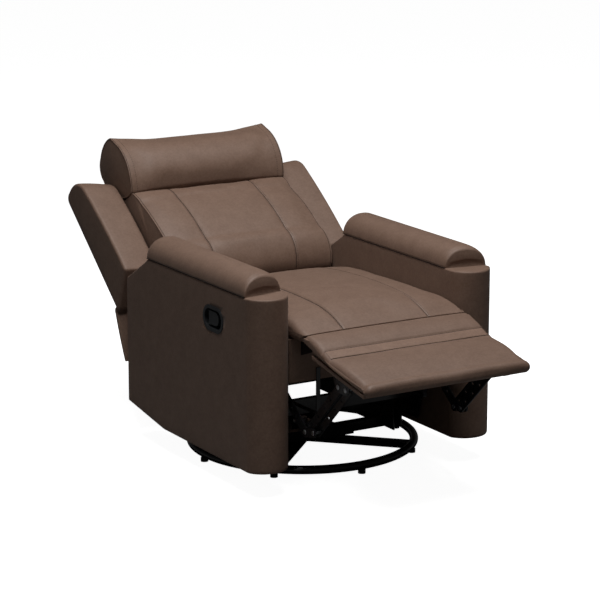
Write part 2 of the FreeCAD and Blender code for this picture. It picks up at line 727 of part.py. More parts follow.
def bumper():
    """Rubber stop under the front of the board."""
    y = BOARD_FRONT + 40
    z = board_underside(y)
    x = HINGE_PLATE_X + 2
    return prism(x - BUMPER_WIDTH, x, (y - 12, board_underside(y - 12)), (y - 8, z - 18), (y + 8, z - 16),
                 (y + 12, board_underside(y + 12)))


# Footrest links

def thigh_link():
    """Bell crank: the long arm down to the knee, with a second ear for the front stay."""
    long_arm = bar(THIGH_X, THIGH, KNEE, LINK_BAR + 4)
    ear = bar(THIGH_X, KNEE, KNEE_FRONT, LINK_BAR)
    holes = [(THIGH, GLIDE_PIN + RUNNING_FIT), (KNEE, LINK_PIN), (KNEE_FRONT, LINK_PIN)]
    holes += [(along(THIGH, KNEE, d), THIGH_HOLE) for d in THIGH_HOLES]
    return drilled(long_arm.fuse(ear).removeSplitter(), THIGH_X, holes)


def drive_tube():
    """Cross tube welded between the two thigh links, so both sides fold together."""
    return round_tube(THIGH_X, THIGH, DRIVE_TUBE + DRIVE_WALL, DRIVE_TUBE)


def knee_pins():
    outer = THIGH_X + STEEL
    return pins_both_sides([(SHIN_X - PIN_END, outer, KNEE, LINK_PIN),
                            (STAY_X - PIN_END, outer, KNEE_FRONT, LINK_PIN)])


def shin_bar(x, low, high, first_hole):
    """Perforated bar from a knee pin to an ankle pin, with play at the ankle."""
    length = hypot(high[0] - low[0], high[1] - low[1])
    holes = [(low, LINK_PIN + RUNNING_FIT), (high, LINK_PIN + OPEN_SLACK)]
    count = int((length - LINK_BAR - first_hole) / SHIN_HOLE_PITCH) + 1
    holes += [(along(low, high, first_hole + SHIN_HOLE_PITCH * i), SHIN_HOLE) for i in range(count)]
    return bar(x, low, high, LINK_BAR, holes)


# Back

def shell_front(y):
    """Height of the back frame's front face, which the cushion lies on."""
    return SHELL_FRONT_AT[1] + SHELL_SLOPE * (y - SHELL_FRONT_AT[0])


def wing_section(x, draw):
    """Wing outline at one X, drawn in from the front face most and from the flat rear least."""
    d = draw
    return outline(x, (363.0 + 0.5 * d, 499.0 - 0.9 * d),
                   (501.0 + 0.5 * d, 608.0 - 0.8 * d, 634.0, 697.0 - d),
                   (690.0 - 0.3 * d, 701.0 - d, 735.0 - 0.4 * d, 668.0 - 0.5 * d),
                   (746.0 - 0.4 * d, 650.0 - 0.2 * d, 740.0 - 0.4 * d, 630.0),
                   (426.0 - 0.2 * d, 366.0 + 0.2 * d),
                   (417.0, 362.0 + 0.5 * d, 411.0, 368.0 + 0.7 * d))


def wing_left():
    """Padded wing beside the back cushion, its front falling inwards."""
    span = WING_OUT - WING_IN
    return loft([wing_section(WING_IN, 16), wing_section(WING_IN + 0.12 * span, 10),
                 wing_section(WING_IN + 0.5 * span, 3), wing_section(WING_OUT - 0.1 * span, 2),
                 wing_section(WING_OUT, 12)])


def back_bracket():
    """Steel arm from the recline pivot round the seat and up inside the back."""
    lower = bar(BACK_BRACKET_X, RECLINE, BRACKET_ELBOW, BRACKET_BAR)
    plate = lower.fuse(bar(BACK_BRACKET_X, BRACKET_ELBOW, BRACKET_TOP, BRACKET_BAR))
    return drilled(plate.removeSplitter(), BACK_BRACKET_X, [(RECLINE, GLIDE_PIN + RUNNING_FIT)])


def back_shell(bracket):
    """Upholstered frame between the wings, slotted for the two steel arms."""
    shell = prism(-SHELL_HALF, SHELL_HALF, SHELL_FRONT_AT, (640.0, shell_front(640.0)),
                  (690.0, 649.0, 738.0, 675.0), (745.0, 662.0, 738.0, 632.0),
                  (424.0, 366.0), (380.0, 350.0, 344.0, 360.0))
    return shell.cut(bracket).cut(other_side(bracket))


def lower_back_panel(solids):
    """Curved skirt of the back, from under the wings down behind the arms."""
    panel = prism(-WING_OUT + 2, WING_OUT - 2, (430.0, 372.0),
                  (439.0, 362.0, 436.0, 350.0), (409.0, 282.0, 377.0, 216.0),
                  (370.0, 219.0), (400.0, 284.0, 424.0, 350.0), (424.0, 360.0, 418.0, 364.0))
    for solid in solids:
        panel = panel.cut(solid)
    return panel


def back_cushion_section(x, draw=0.0):
    c = crown(x)
    d = draw
    b = 6.0 * c
    return outline(x, (264.0 + 0.5 * d, 460.0 + 0.4 * d),
                   (278.0 - b + d, 522.0 + b, 330.0 + 0.6 * d - 0.5 * b, 567.0 + 0.8 * b - 0.8 * d),
                   (410.5 + 0.5 * d - 0.5 * b, 619.0 + b - d, 500.0 + 0.4 * d - 0.4 * b, 660.0 + b - d),
                   (530.0, 673.0 + 0.8 * b - d, 554.0, 677.0 - 0.4 * d),
                   (614.0, 643.0), (622.0, shell_front(622.0) + 0.5), (348.0, shell_front(348.0) + 0.5),
                   (300.0, 418.0, 264.0 + 0.5 * d, 460.0 + 0.4 * d))


def headrest_section(x, draw):
    """Leaf-shaped pillow outline with a pointed top, drawn in from its front, top and rear."""
    d = draw
    return outline(x, (556.0 + d, 683.0 + 0.5 * d),
                   (574.0, 755.0, 650.0, 814.0 - 0.7 * d),
                   (692.0, 827.0 - 1.2 * d),
                   (737.0 - d, 799.0 - d, 759.0 - d, 757.0 - 0.4 * d),
                   (765.5 - d, 726.0, 742.0 - d, 688.0),
                   (684.0, 652.0, 622.0, 655.0),
                   (588.0, 663.0, 556.0 + d, 683.0 + 0.5 * d))


def headrest():
    """Pillow with leaf-shaped ends, slimmer towards its middle."""
    half = HEADREST_HALF
    stations = ((-1.0, 2.0), (-0.97, 0.0), (-0.5, 5.5), (0.0, 8.0), (0.5, 5.5), (0.97, 0.0), (1.0, 2.0))
    return loft([headrest_section(share * half, draw) for share, draw in stations])


def build_base():
    ring = base_ring()
    export("base_ring", ring)
    export("base_spokes", base_spokes(ring))
    export("base_feet", base_feet())
    export("swivel_hub", swivel_hub())
    export("swivel_washer", swivel_washer())
    export("swivel_nut", swivel_nut())


def build_glider():
    export("swivel_collar", swivel_collar())
    export("swivel_plate", swivel_plate())
    export("glider_cross_rails", glider_cross_rails())
    export_pair("glider_bracket", glider_bracket())
    x = glide_link_x()
    export("glide_pins_upper", glide_pins(GLIDE_TOP, BRACKET_X, x + STEEL + 1))
    export("glide_pins_lower", glide_pins(GLIDE_TOP - GLIDE_LENGTH, x - 1, glide_rail_x() + STEEL))
    export_pair("glide_link_front", glide_link(-GLIDE_SPREAD))
    export_pair("glide_link_rear", glide_link(GLIDE_SPREAD))


def build_carriage():
    export("glide_rails", both_sides(glide_rail()))
    export_pair("side_plate", side_plate())
    export("cross_tubes", cross_tubes())
    export("cross_member", cross_member())
    export("carriage_pins", carriage_pins())
    rail = seat_rails()
    export_pair("seat_rail", rail.fuse(seat_hanger()).removeSplitter())
    export("seat_cross_rails", Part.makeCompound([seat_cross_rail(RAIL_FRONT + RAIL_THICK),
                                                  seat_cross_rail(SEAT_RAIL_REAR - SEAT_RAIL)]))
    export("seat_springs", seat_springs())
    export("seat_cushion", stuffed(seat_section))
    export("front_rail", front_rail())
    export("hinge_plates", both_sides(hinge_plate()))
    export("hinge_pins", hinge_pins())
    export("front_straps", both_sides(front_strap()))
    export("rear_skirt", rear_skirt())


def build_arms():
    left = arm_left()
    export("arm_left", left)
    export("arm_right", arm_right(left))
    export_pair("arm_pad", arm_pad())
    bezel, pin_y = handle_bezel()
    export("handle_bezel", bezel)
    export("handle_paddle", handle_paddle(pin_y))


def build_footrest():
    export("footrest_board", footrest_board())
    export("footrest_pad", stuffed(pad_section, draw=7.0))
    export("footrest_brackets", both_sides(footrest_bracket()))
    export("footrest_hinges", both_sides(footrest_hinge()))
    export("footrest_pins", footrest_pins())
    export("footrest_bumpers", both_sides(bumper()))
    export_pair("thigh_link", thigh_link())
    export("drive_tube", drive_tube())
    export("knee_pins", knee_pins())
    export_pair("shin_link", shin_bar(SHIN_X, KNEE, ANKLE, 34.0))
    export_pair("shin_stay", shin_bar(STAY_X, KNEE_FRONT, ANKLE_FRONT, 34.0))


def build_back():
    bracket = back_bracket()
    export("back_brackets", both_sides(bracket))
    shell = export("back_shell", back_shell(bracket))
    wing = wing_left()
    export_pair("wing", wing)
    export("lower_back_panel", lower_back_panel([shell, wing, other_side(wing)]))
    export("back_cushion", stuffed(back_cushion_section, SEAT_HALF, 8.0))
    export("headrest", headrest())


os.makedirs("parts", exist_ok=True)
build_base()
build_glider()
build_carriage()
build_arms()
build_footrest()
build_back()
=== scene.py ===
"""Visual model of a swivel glider recliner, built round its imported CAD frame.

Shapes are written in millimetres in the frame's own axes: Z is up, -Y is the chair's front and -X is the
sitter's right. They become metres when a mesh is made.
"""

from __future__ import annotations

import json
import logging
from collections.abc import Callable, Sequence
from dataclasses import dataclass
from enum import Enum
from typing import Any

import bpy
import numpy as np
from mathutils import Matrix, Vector

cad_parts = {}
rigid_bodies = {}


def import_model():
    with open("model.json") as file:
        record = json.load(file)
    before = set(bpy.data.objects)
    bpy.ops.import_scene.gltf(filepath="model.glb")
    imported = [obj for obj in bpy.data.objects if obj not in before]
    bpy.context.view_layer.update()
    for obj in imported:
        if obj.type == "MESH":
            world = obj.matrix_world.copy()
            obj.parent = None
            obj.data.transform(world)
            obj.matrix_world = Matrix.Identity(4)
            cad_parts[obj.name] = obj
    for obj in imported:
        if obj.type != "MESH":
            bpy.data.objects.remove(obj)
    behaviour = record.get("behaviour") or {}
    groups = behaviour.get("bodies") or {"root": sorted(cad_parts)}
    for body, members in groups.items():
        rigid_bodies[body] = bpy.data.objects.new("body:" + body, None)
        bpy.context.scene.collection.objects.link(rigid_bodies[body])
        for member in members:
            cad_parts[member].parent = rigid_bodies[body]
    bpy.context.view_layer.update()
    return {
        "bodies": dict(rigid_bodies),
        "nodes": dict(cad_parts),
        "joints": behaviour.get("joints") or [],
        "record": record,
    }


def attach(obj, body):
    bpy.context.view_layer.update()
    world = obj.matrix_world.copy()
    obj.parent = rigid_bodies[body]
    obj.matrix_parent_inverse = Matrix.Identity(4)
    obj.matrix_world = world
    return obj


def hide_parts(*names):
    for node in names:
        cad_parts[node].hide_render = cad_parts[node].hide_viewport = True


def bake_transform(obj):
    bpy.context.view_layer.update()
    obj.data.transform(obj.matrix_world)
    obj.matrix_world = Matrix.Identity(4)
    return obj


LOG = logging.getLogger("recliner")
MM = 0.001
SEAT_HALF = 263.0
Profile = Callable[[float], np.ndarray]
Held = Callable[[np.ndarray], np.ndarray]
Row = tuple[float, ...]


class Slot(Enum):
    """Material slots of the record that the pieces take their finish from."""

    UPHOLSTERY = "upholstery"
    BLACK_STEEL = "black_steel"
    ZINC_STEEL = "zinc_steel"
    RUBBER = "rubber"
    BLACK_PLASTIC = "black_plastic"


class Side(Enum):
    """Side of the chair, as the sign of its X."""

    LEFT = 1
    RIGHT = -1

    @property
    def word(self) -> str:
        """Suffix that node and piece names end in."""
        return "left" if self is Side.LEFT else "right"


# Plane curves


def arc_through(a: Row, b: Row, c: Row, count: int = 40) -> np.ndarray:
    """Points on the circle through a, b and c, from a to c by way of b.

    The centre is where the perpendicular bisectors of ab and bc cross.

    Args:
        a: First point.
        b: Point on the way.
        c: Last point.
        count: How many points.

    Returns:
        Array (count, 2).
    """
    pa, pb, pc = (np.array(p, float) for p in (a, b, c))
    rows = np.array([pb - pa, pc - pb])
    squares = np.array([pb @ pb - pa @ pa, pc @ pc - pb @ pb]) / 2
    centre = np.linalg.solve(rows, squares)
    start, middle, end = (np.arctan2(*(p - centre)[::-1]) for p in (pa, pb, pc))
    turn = np.mod(end - start, 2 * np.pi)
    if np.mod(middle - start, 2 * np.pi) > turn:
        turn -= 2 * np.pi
    angles = start + np.linspace(0, turn, count)
    return centre + np.hypot(*(pa - centre)) * np.stack([np.cos(angles), np.sin(angles)], 1)


def outline(start: Row, *steps: Row) -> np.ndarray:
    """Closed loop of lines and arcs in the YZ plane.

    Args:
        start: First point (y, z).
        steps: Each a line's end (y, z) or an arc's (ym, zm, y, z).

    Returns:
        Array (n, 2) without the repeated first point.
    """
    parts = [np.array([start], float)]
    here = start
    for step in (*steps, start):
        end = step[-2:]
        if len(step) == 2:
            parts.append(np.linspace(here, end, 40)[1:])
        else:
            parts.append(arc_through(here, step[:2], end)[1:])
        here = end
    loop = np.vstack(parts)
    return loop[:-1] if np.hypot(*(loop[0] - loop[-1])) < 1e-6 else loop


def resample(loop: np.ndarray, count: int) -> np.ndarray:
    """Closed loop with its points spread evenly by length.

    Args:
        loop: Array (n, 2).
        count: How many points to return.

    Returns:
        Array (count, 2) that starts at the loop's first point.
    """
    closed = np.vstack([loop, loop[:1]])
    length = np.concatenate([[0], np.cumsum(np.hypot(*np.diff(closed, axis=0).T))])
    at = np.linspace(0, length[-1], count, endpoint=False)
    return np.stack([np.interp(at, length, closed[:, i]) for i in (0, 1)], 1)


def soften(loop: np.ndarray, reach: float) -> np.ndarray:
    """Closed loop with its corners rounded by a Gaussian blur along its length.

    Args:
        loop: Array (n, 2), evenly spaced.
        reach: Standard deviation of the blur in millimetres.

    Returns:
        Array (n, 2).
    """
    pitch = np.hypot(*(np.roll(loop, -1, 0) - loop).T).mean()
    waves = np.fft.fftfreq(len(loop)) * 2 * np.pi * reach / pitch
    return np.fft.ifft(np.fft.fft(loop, axis=0) * np.exp(-0.5 * waves**2)[:, None], axis=0).real


def outward(loop: np.ndarray) -> np.ndarray:
    """Unit normals of a closed loop, pointing away from the area that it holds.

    Args:
        loop: Array (n, 2).

    Returns:
        Array (n, 2).
    """
    ahead = np.roll(loop, -1, 0)
    run = ahead - np.roll(loop, 1, 0)
    area = np.sum(loop[:, 0] * ahead[:, 1] - loop[:, 1] * ahead[:, 0])
    turned = np.stack([run[:, 1], -run[:, 0]], 1) * np.sign(area)
    return turned / np.linalg.norm(turned, axis=1, keepdims=True)


def drawn_in(loop: np.ndarray, depth: float) -> np.ndarray:
    """Closed loop moved inwards by a distance, its normals blurred so that corners don't fold.

    Args:
        loop: Array (n, 2).
        depth: Distance in millimetres.

    Returns:
        Array (n, 2).
    """
    if depth < 1e-6:
        return loop
    return loop - outward(soften(loop, 2 + depth)) * depth


def crown(x: float | np.ndarray, half: float = SEAT_HALF) -> Any:
    """Rise of a stuffed form across its width, 0 at its sides and 1 at the middle."""
    return 1.0 - np.abs(np.asarray(x) / half) ** 2.5


# Meshes


@dataclass
class Surface:
    """Vertices in millimetres and the faces between them."""

    points: np.ndarray
    faces: list[Sequence[int]]

    def joined(self, other: Surface) -> Surface:
        """This surface and another as one."""
        shift = len(self.points)
        faces = self.faces + [[i + shift for i in face] for face in other.faces]
        return Surface(np.vstack([self.points, other.points]), faces)

    def mirrored(self) -> Surface:
        """The same surface on the other side of X = 0, its faces turned to stay outward."""
        return Surface(self.points * (-1, 1, 1), [list(face)[::-1] for face in self.faces])


def together(surfaces: Sequence[Surface]) -> Surface:
    """Several surfaces as one."""
    whole = surfaces[0]
    for surface in surfaces[1:]:
        whole = whole.joined(surface)
    return whole


def quads(rows: int, columns: int, wrap: bool = True) -> list[Sequence[int]]:
    """Faces of a grid of vertices, row by row.

    Args:
        rows: Number of rows.
        columns: Number of vertices in a row.
        wrap: Whether the last column joins the first.

    Returns:
        Lists of four vertex numbers.
    """
    row = np.arange(rows - 1)[:, None]
    column = np.arange(columns if wrap else columns - 1)[None, :]
    after = (column + 1) % columns
    a, b = row * columns + column, row * columns + after
    c, d = (row + 1) * columns + after, (row + 1) * columns + column
    return np.stack([a, b, c, d], -1).reshape(-1, 4).tolist()


def across(rows: np.ndarray, core: np.ndarray | None = None, dome: float = 0.0) -> Surface:
    """Closed surface through loops that stand one after another along X.

    Each end is closed by rings that shrink to the core point and rise over it as a parabola, or by one
    flat face where no core is given.

    Args:
        rows: Array (n, m, 3) of loops.
        core: The ends' middle (y, z).
        dome: How far the ends' middles stand out.

    Returns:
        The surface, its faces turned outward.
    """
    count, columns = rows.shape[:2]
    points = rows.reshape(-1, 3)
    faces = quads(count, columns)
    if core is None:
        faces += [list(range(columns))[::-1], list(range((count - 1) * columns, count * columns))]
        return turned_out(Surface(points, faces))
    for end, sign in ((0, -1.0), (count - 1, 1.0)):
        share = np.linspace(0, 1, 12)[1:-1]
        middle = np.array([rows[end, 0, 0], *core])
        rings = middle + (rows[end][None] - middle) * (1 - share[:, None, None])
        rings[:, :, 0] += sign * dome * (1 - (1 - share[:, None]) ** 2)
        base = len(points)
        tip = middle + (sign * dome, 0, 0)
        ring_faces = np.array(quads(len(share), columns)) + base
        first = [[end * columns + i, end * columns + (i + 1) % columns, base + (i + 1) % columns, base + i]
                 for i in range(columns)]
        last = base + (len(share) - 1) * columns
        fan = [[last + i, last + (i + 1) % columns, base + len(share) * columns] for i in range(columns)]
        added = first + ring_faces.tolist() + fan
        faces += added if sign > 0 else [face[::-1] for face in added]
        points = np.vstack([points, rings.reshape(-1, 3), tip])
    return turned_out(Surface(points, faces))


def turned_out(surface: Surface) -> Surface:
    """The surface with all its faces reversed if they point inwards, told by its signed volume."""
    fan = np.array([(face[0], face[1], face[2]) for face in surface.faces])
    fan = np.vstack([fan, [(face[0], face[2], face[3]) for face in surface.faces if len(face) == 4]])
    a, b, c = (surface.points[fan[:, i]] for i in range(3))
    if np.sum(a * np.cross(b, c)) < 0:
        return Surface(surface.points, [list(face)[::-1] for face in surface.faces])
    return surface


def tube(path: np.ndarray, radius: float, closed: bool = False, sides: int = 10) -> Surface:
    """Round tube along a path: rings square to it, in the frame of its tangent and a fixed helper.

    Args:
        path: Array (n, 3).
        radius: Tube radius.
        closed: Whether the path's end joins its start.
        sides: Vertices of a ring.

    Returns:
        The tube, with both ends closed where the path is open.
    """
    if closed:
        run = np.roll(path, -1, 0) - np.roll(path, 1, 0)
    else:
        run = np.gradient(path, axis=0)
    run /= np.linalg.norm(run, axis=1, keepdims=True)
    spread = np.ptp(path, axis=0)
    helper = np.zeros(3)
    helper[int(np.argmin(spread))] = 1.0
    u = np.cross(run, helper)
    u /= np.linalg.norm(u, axis=1, keepdims=True)
    v = np.cross(run, u)
    angle = np.linspace(0, 2 * np.pi, sides, endpoint=False)
    ring = np.cos(angle)[None, :, None] * u[:, None] + np.sin(angle)[None, :, None] * v[:, None]
    points = (path[:, None] + radius * ring).reshape(-1, 3)
    count = len(path)
    if closed:
        return turned_out(Surface(points, [[i % (count * sides) for i in face]
                                           for face in quads(count + 1, sides)]))
    ends = [list(range(sides))[::-1], list(range((count - 1) * sides, count * sides))]
    return turned_out(Surface(points, quads(count, sides) + ends))


def fold(path: np.ndarray, radius: float = 0.9, closed: bool = False) -> Surface:
    """Thin line along a seam that takes the dark seam finish as painted shade of its crease, with few sides
    because it is so thin.
    """
    return tube(path, radius, closed, sides=6)


def thread(path: np.ndarray, lift: np.ndarray, pitch: float = 7.0, size: float = 0.6) -> Surface:
    """Row of stitches along a path, each a short six-sided spindle that dips into the fabric at its ends.

    Args:
        path: Array (n, 3) on the fabric.
        lift: Array (n, 3) of the fabric's outward normals there.
        pitch: From one stitch to the next.
        size: Radius of the thread.

    Returns:
        All the stitches as one surface.
    """
    length = np.concatenate([[0], np.cumsum(np.linalg.norm(np.diff(path, axis=0), axis=1))])
    starts = np.arange(1.0, length[-1] - pitch, pitch)
    along = np.linspace(0, 0.72 * pitch, 4)
    at = starts[:, None] + along
    place = np.stack([np.interp(at, length, path[:, i]) for i in range(3)], -1)
    up = np.stack([np.interp(at, length, lift[:, i]) for i in range(3)], -1)
    run = place[:, -1:] - place[:, :1]
    run /= np.linalg.norm(run, axis=-1, keepdims=True)
    side = np.cross(run, up)
    rise = np.array([-0.5, 0.7, 0.7, -0.5]) * size
    girth = np.array([0.35, 1.0, 1.0, 0.35]) * size
    angle = np.linspace(0, 2 * np.pi, 6, endpoint=False)
    spoke = (np.cos(angle)[None, None, :, None] * up[:, :, None]
             + np.sin(angle)[None, None, :, None] * side[:, :, None])
    points = place[:, :, None] + up[:, :, None] * rise[None, :, None, None]
    points = points + spoke * girth[None, :, None, None]
    one = np.array(quads(4, 6))
    shift = (np.arange(len(starts)) * 24)[:, None, None]
    faces = (one[None] + shift).reshape(-1, 4).tolist()
    lids = np.array([[5, 4, 3, 2, 1, 0], [18, 19, 20, 21, 22, 23]])
    faces += (lids[None] + shift).reshape(-1, 6).tolist()
    return turned_out(Surface(points.reshape(-1, 3), faces))


def make(name: str, surface: Surface, body: str, finish: bpy.types.Material,
         stands_for: Sequence[str] = ()) -> bpy.types.Object:
    """Put a surface into the scene as a piece.

    Args:
        name: The piece's name.
        surface: Its shape.
        body: CAD body that it moves with.
        finish: Its material.
        stands_for: CAD nodes that it replaces.

    Returns:
        The new object.
    """
    mesh = bpy.data.meshes.new(name)
    mesh.from_pydata((surface.points * MM).tolist(), [], surface.faces)
    mesh.polygons.foreach_set("use_smooth", np.ones(len(mesh.polygons), bool))
    mesh.materials.append(finish)
    mesh.update()
    piece = bpy.data.objects.new(name, mesh)
    bpy.context.scene.collection.objects.link(piece)
    if body:
        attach(piece, body)
    if stands_for:
        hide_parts(*stands_for)
    LOG.info("%s: %d faces on %s", name, len(surface.faces), body or "a blend of two bodies")
    return piece


# Finishes


class Nodes:
    """Short way to add and join shader nodes."""

    def __init__(self, name: str) -> None:
        """Start an empty material."""
        self.material = bpy.data.materials.new(name)
        self.material.use_nodes = True
        self.tree = self.material.node_tree
        self.tree.nodes.clear()

    def add(self, kind: str, **values: Any) -> bpy.types.Node:
        """Add a node.

        Args:
            kind: Blender's name of the node type.
            values: Properties by name, or inputs by their name with _ for a space.

        Returns:
            The node.
        """
        node = self.tree.nodes.new(kind)
        for key, value in values.items():
            if hasattr(node, key):
                setattr(node, key, value)
            else:
                node.inputs[key.replace("_", " ")].default_value = value
        return node

    def join(self, source: bpy.types.NodeSocket, target: bpy.types.NodeSocket) -> None:
        """Link one socket to another."""
        self.tree.links.new(source, target)

    def place(self) -> bpy.types.NodeSocket:
        """Object coordinates, in metres."""
        return self.add("ShaderNodeTexCoord").outputs["Object"]

    def noise(self, place: bpy.types.NodeSocket, scale: float, detail: float = 4.0,
              rough: float = 0.55) -> bpy.types.NodeSocket:
        """Noise pattern at a scale in cells per metre."""
        node = self.add("ShaderNodeTexNoise", Scale=scale, Detail=detail, Roughness=rough)
        self.join(place, node.inputs["Vector"])
        return node.outputs["Fac"]

    def ramp(self, value: bpy.types.NodeSocket, stops: Sequence[tuple[float, Row]]) -> bpy.types.NodeSocket:
        """Colour ramp over a value, with stops of (position, colour)."""
        node = self.add("ShaderNodeValToRGB")
        elements = node.color_ramp.elements
        for i, (at, colour) in enumerate(stops):
            element = elements[i] if i < 2 else elements.new(at)
            element.position = at
            element.color = (*colour, 1.0)
        self.join(value, node.inputs["Fac"])
        return node.outputs["Color"]

    def mixed(self, a: bpy.types.NodeSocket, b: bpy.types.NodeSocket, share: float) -> bpy.types.NodeSocket:
        """Two colours mixed at a fixed share."""
        node = self.add("ShaderNodeMix", data_type="RGBA")
        node.inputs["Factor"].default_value = share
        self.join(a, node.inputs["A"])
        self.join(b, node.inputs["B"])
        return node.outputs["Result"]

    def bump(self, height: bpy.types.NodeSocket, strength: float, distance: float,
             under: bpy.types.NodeSocket | None = None) -> bpy.types.NodeSocket:
        """Bump from a height pattern, on top of another normal where one is given."""
        node = self.add("ShaderNodeBump", Strength=strength, Distance=distance)
        self.join(height, node.inputs["Height"])
        if under is not None:
            self.join(under, node.inputs["Normal"])
        return node.outputs["Normal"]

    def finished(self, colour: bpy.types.NodeSocket | Row, roughness: bpy.types.NodeSocket | float,
                 normal: bpy.types.NodeSocket | None = None, **values: float) -> bpy.types.Material:
        """Close the material with its shader.

        Args:
            colour: Socket or RGB.
            roughness: Socket or number.
            normal: Bumped normal.
            values: Other inputs of the shader by name.

        Returns:
            The material.
        """
        shader = self.add("ShaderNodeBsdfPrincipled", **values)
        for key, value in (("Base Color", colour), ("Roughness", roughness)):
            if isinstance(value, bpy.types.NodeSocket):
                self.join(value, shader.inputs[key])
            else:
                shader.inputs[key].default_value = (*value, 1.0) if isinstance(value, tuple) else value
        if normal is not None:
            self.join(normal, shader.inputs["Normal"])
        output = self.add("ShaderNodeOutputMaterial")
        self.join(shader.outputs["BSDF"], output.inputs["Surface"])
        return self.material


@dataclass(frozen=True)
class FauxLeather:
    """Matt brown leather-look fabric: clouded colour, fine pebble grain and a soft sheen."""

    name: str
    tone: float = 1.0
    dark: Row = (0.142, 0.083, 0.056)
    middle: Row = (0.165, 0.099, 0.068)
    light: Row = (0.190, 0.117, 0.083)
    clouds: float = 24.0
    flecks: float = 150.0
    pebble: float = 620.0

    def shade(self, colour: Row) -> Row:
        """A colour at this finish's tone."""
        return tuple(self.tone * part for part in colour)

    def material(self) -> bpy.types.Material:
        """Build the material."""
        n = Nodes(self.name)
        place = n.place()
        cloud = n.ramp(n.noise(place, self.clouds, 5.0, 0.6),
                       ((0.34, self.shade(self.dark)), (0.66, self.shade(self.light)),
                        (0.50, self.shade(self.middle))))
        fleck = n.ramp(n.noise(place, self.flecks, 3.0, 0.7),
                       ((0.36, self.shade(self.dark)), (0.62, self.shade(self.light)),
                        (0.48, self.shade(self.middle))))
        colour = n.mixed(cloud, fleck, 0.55)
        cells = n.add("ShaderNodeTexVoronoi", Scale=self.pebble, Randomness=1.0)
        n.join(place, cells.inputs["Vector"])
        grain = n.bump(cells.outputs["Distance"], 0.22, 0.0006)
        cracks = n.bump(n.noise(place, 260.0, 4.0, 0.65), 0.16, 0.0012, grain)
        slack = n.bump(n.noise(place, 16.0, 2.0, 0.5), 0.05, 0.010, cracks)
        rough = n.add("ShaderNodeMapRange", To_Min=0.52, To_Max=0.68)
        n.join(n.noise(place, 40.0), rough.inputs["Value"])
        return n.finished(colour, rough.outputs["Result"], slack, Sheen_Weight=0.04, Sheen_Roughness=0.5)


@dataclass(frozen=True)
class HardFinish:
    """Paint, plating, plastic, rubber, thread or the painted shade of seams: two tones in a fine pattern,
    over a finer relief.
    """

    name: str
    dark: Row
    light: Row
    roughness: float
    pattern: Row
    relief: Row
    depth: Row
    stops: Row = (0.3, 0.7)
    wear: float = 0.0
    metallic: float = 0.0

    def material(self) -> bpy.types.Material:
        """Build the material."""
        n = Nodes(self.name)
        place = n.place()
        colour = n.ramp(n.noise(place, *self.pattern), tuple(zip(self.stops, (self.dark, self.light))))
        rough = self.roughness
        if self.wear:
            spread = n.add("ShaderNodeMapRange", To_Min=rough, To_Max=rough + self.wear)
            n.join(n.noise(place, 55.0), spread.inputs["Value"])
            rough = spread.outputs["Result"]
        relief = n.bump(n.noise(place, *self.relief), *self.depth)
        return n.finished(colour, rough, relief, Metallic=self.metallic)


class Finishes:
    """One material of each finish, shared by the pieces."""

    def __init__(self) -> None:
        """Build the materials."""
        self.leather = FauxLeather("faux_leather").material()
        self.pale_leather = FauxLeather("faux_leather_strip", tone=1.18).material()
        self.paint = HardFinish("black_paint", (0.006, 0.006, 0.007), (0.020, 0.020, 0.021), 0.12,
                                (30.0, 6.0, 0.7), (420.0, 2.0), (0.08, 0.0004), (0.35, 0.75), 0.12).material()
        self.zinc = HardFinish("bright_zinc", (0.42, 0.43, 0.45), (0.66, 0.67, 0.69), 0.28,
                               (120.0,), (900.0, 2.0), (0.15, 0.0002), metallic=1.0).material()
        self.plastic = HardFinish("moulded_plastic", (0.012, 0.013, 0.015), (0.024, 0.026, 0.029), 0.42,
                                  (60.0,), (1500.0, 2.0), (0.2, 0.0003)).material()
        self.rubber = HardFinish("black_rubber", (0.010, 0.010, 0.010), (0.026, 0.025, 0.024), 0.8,
                                 (80.0,), (700.0,), (0.2, 0.0004)).material()
        self.thread = self.sewn("sewing_thread", (0.045, 0.028, 0.021), (0.085, 0.055, 0.042))
        # The seam finish is painted shade: near-black brown for the thin lines laid along seams, where the
        # crease would be in shadow.
        self.seam = self.sewn("seam_painted_shade", (0.010, 0.006, 0.004), (0.022, 0.013, 0.009))

    @staticmethod
    def sewn(name: str, dark: Row, light: Row) -> bpy.types.Material:
        """Matt thread, or the very dark finish of the lines along seams, which paints the shade in their
        creases.
        """
        return HardFinish(name, dark, light, 0.9, (900.0,), (2400.0,), (0.3, 0.0003)).material()

    def dress(self, frame: dict[str, Any]) -> None:
        """Give every CAD node its finish by the record's material slot.
        """
        by_slot = {Slot.UPHOLSTERY: self.leather, Slot.BLACK_STEEL: self.paint, Slot.ZINC_STEEL: self.zinc,
                   Slot.RUBBER: self.rubber, Slot.BLACK_PLASTIC: self.plastic}
        for part in frame["record"]["subparts"]:
            node = frame["nodes"][part["node"]]
            for place in node.material_slots:
                place.material = by_slot[Slot(part["material_slot"])]


# Upholstered forms


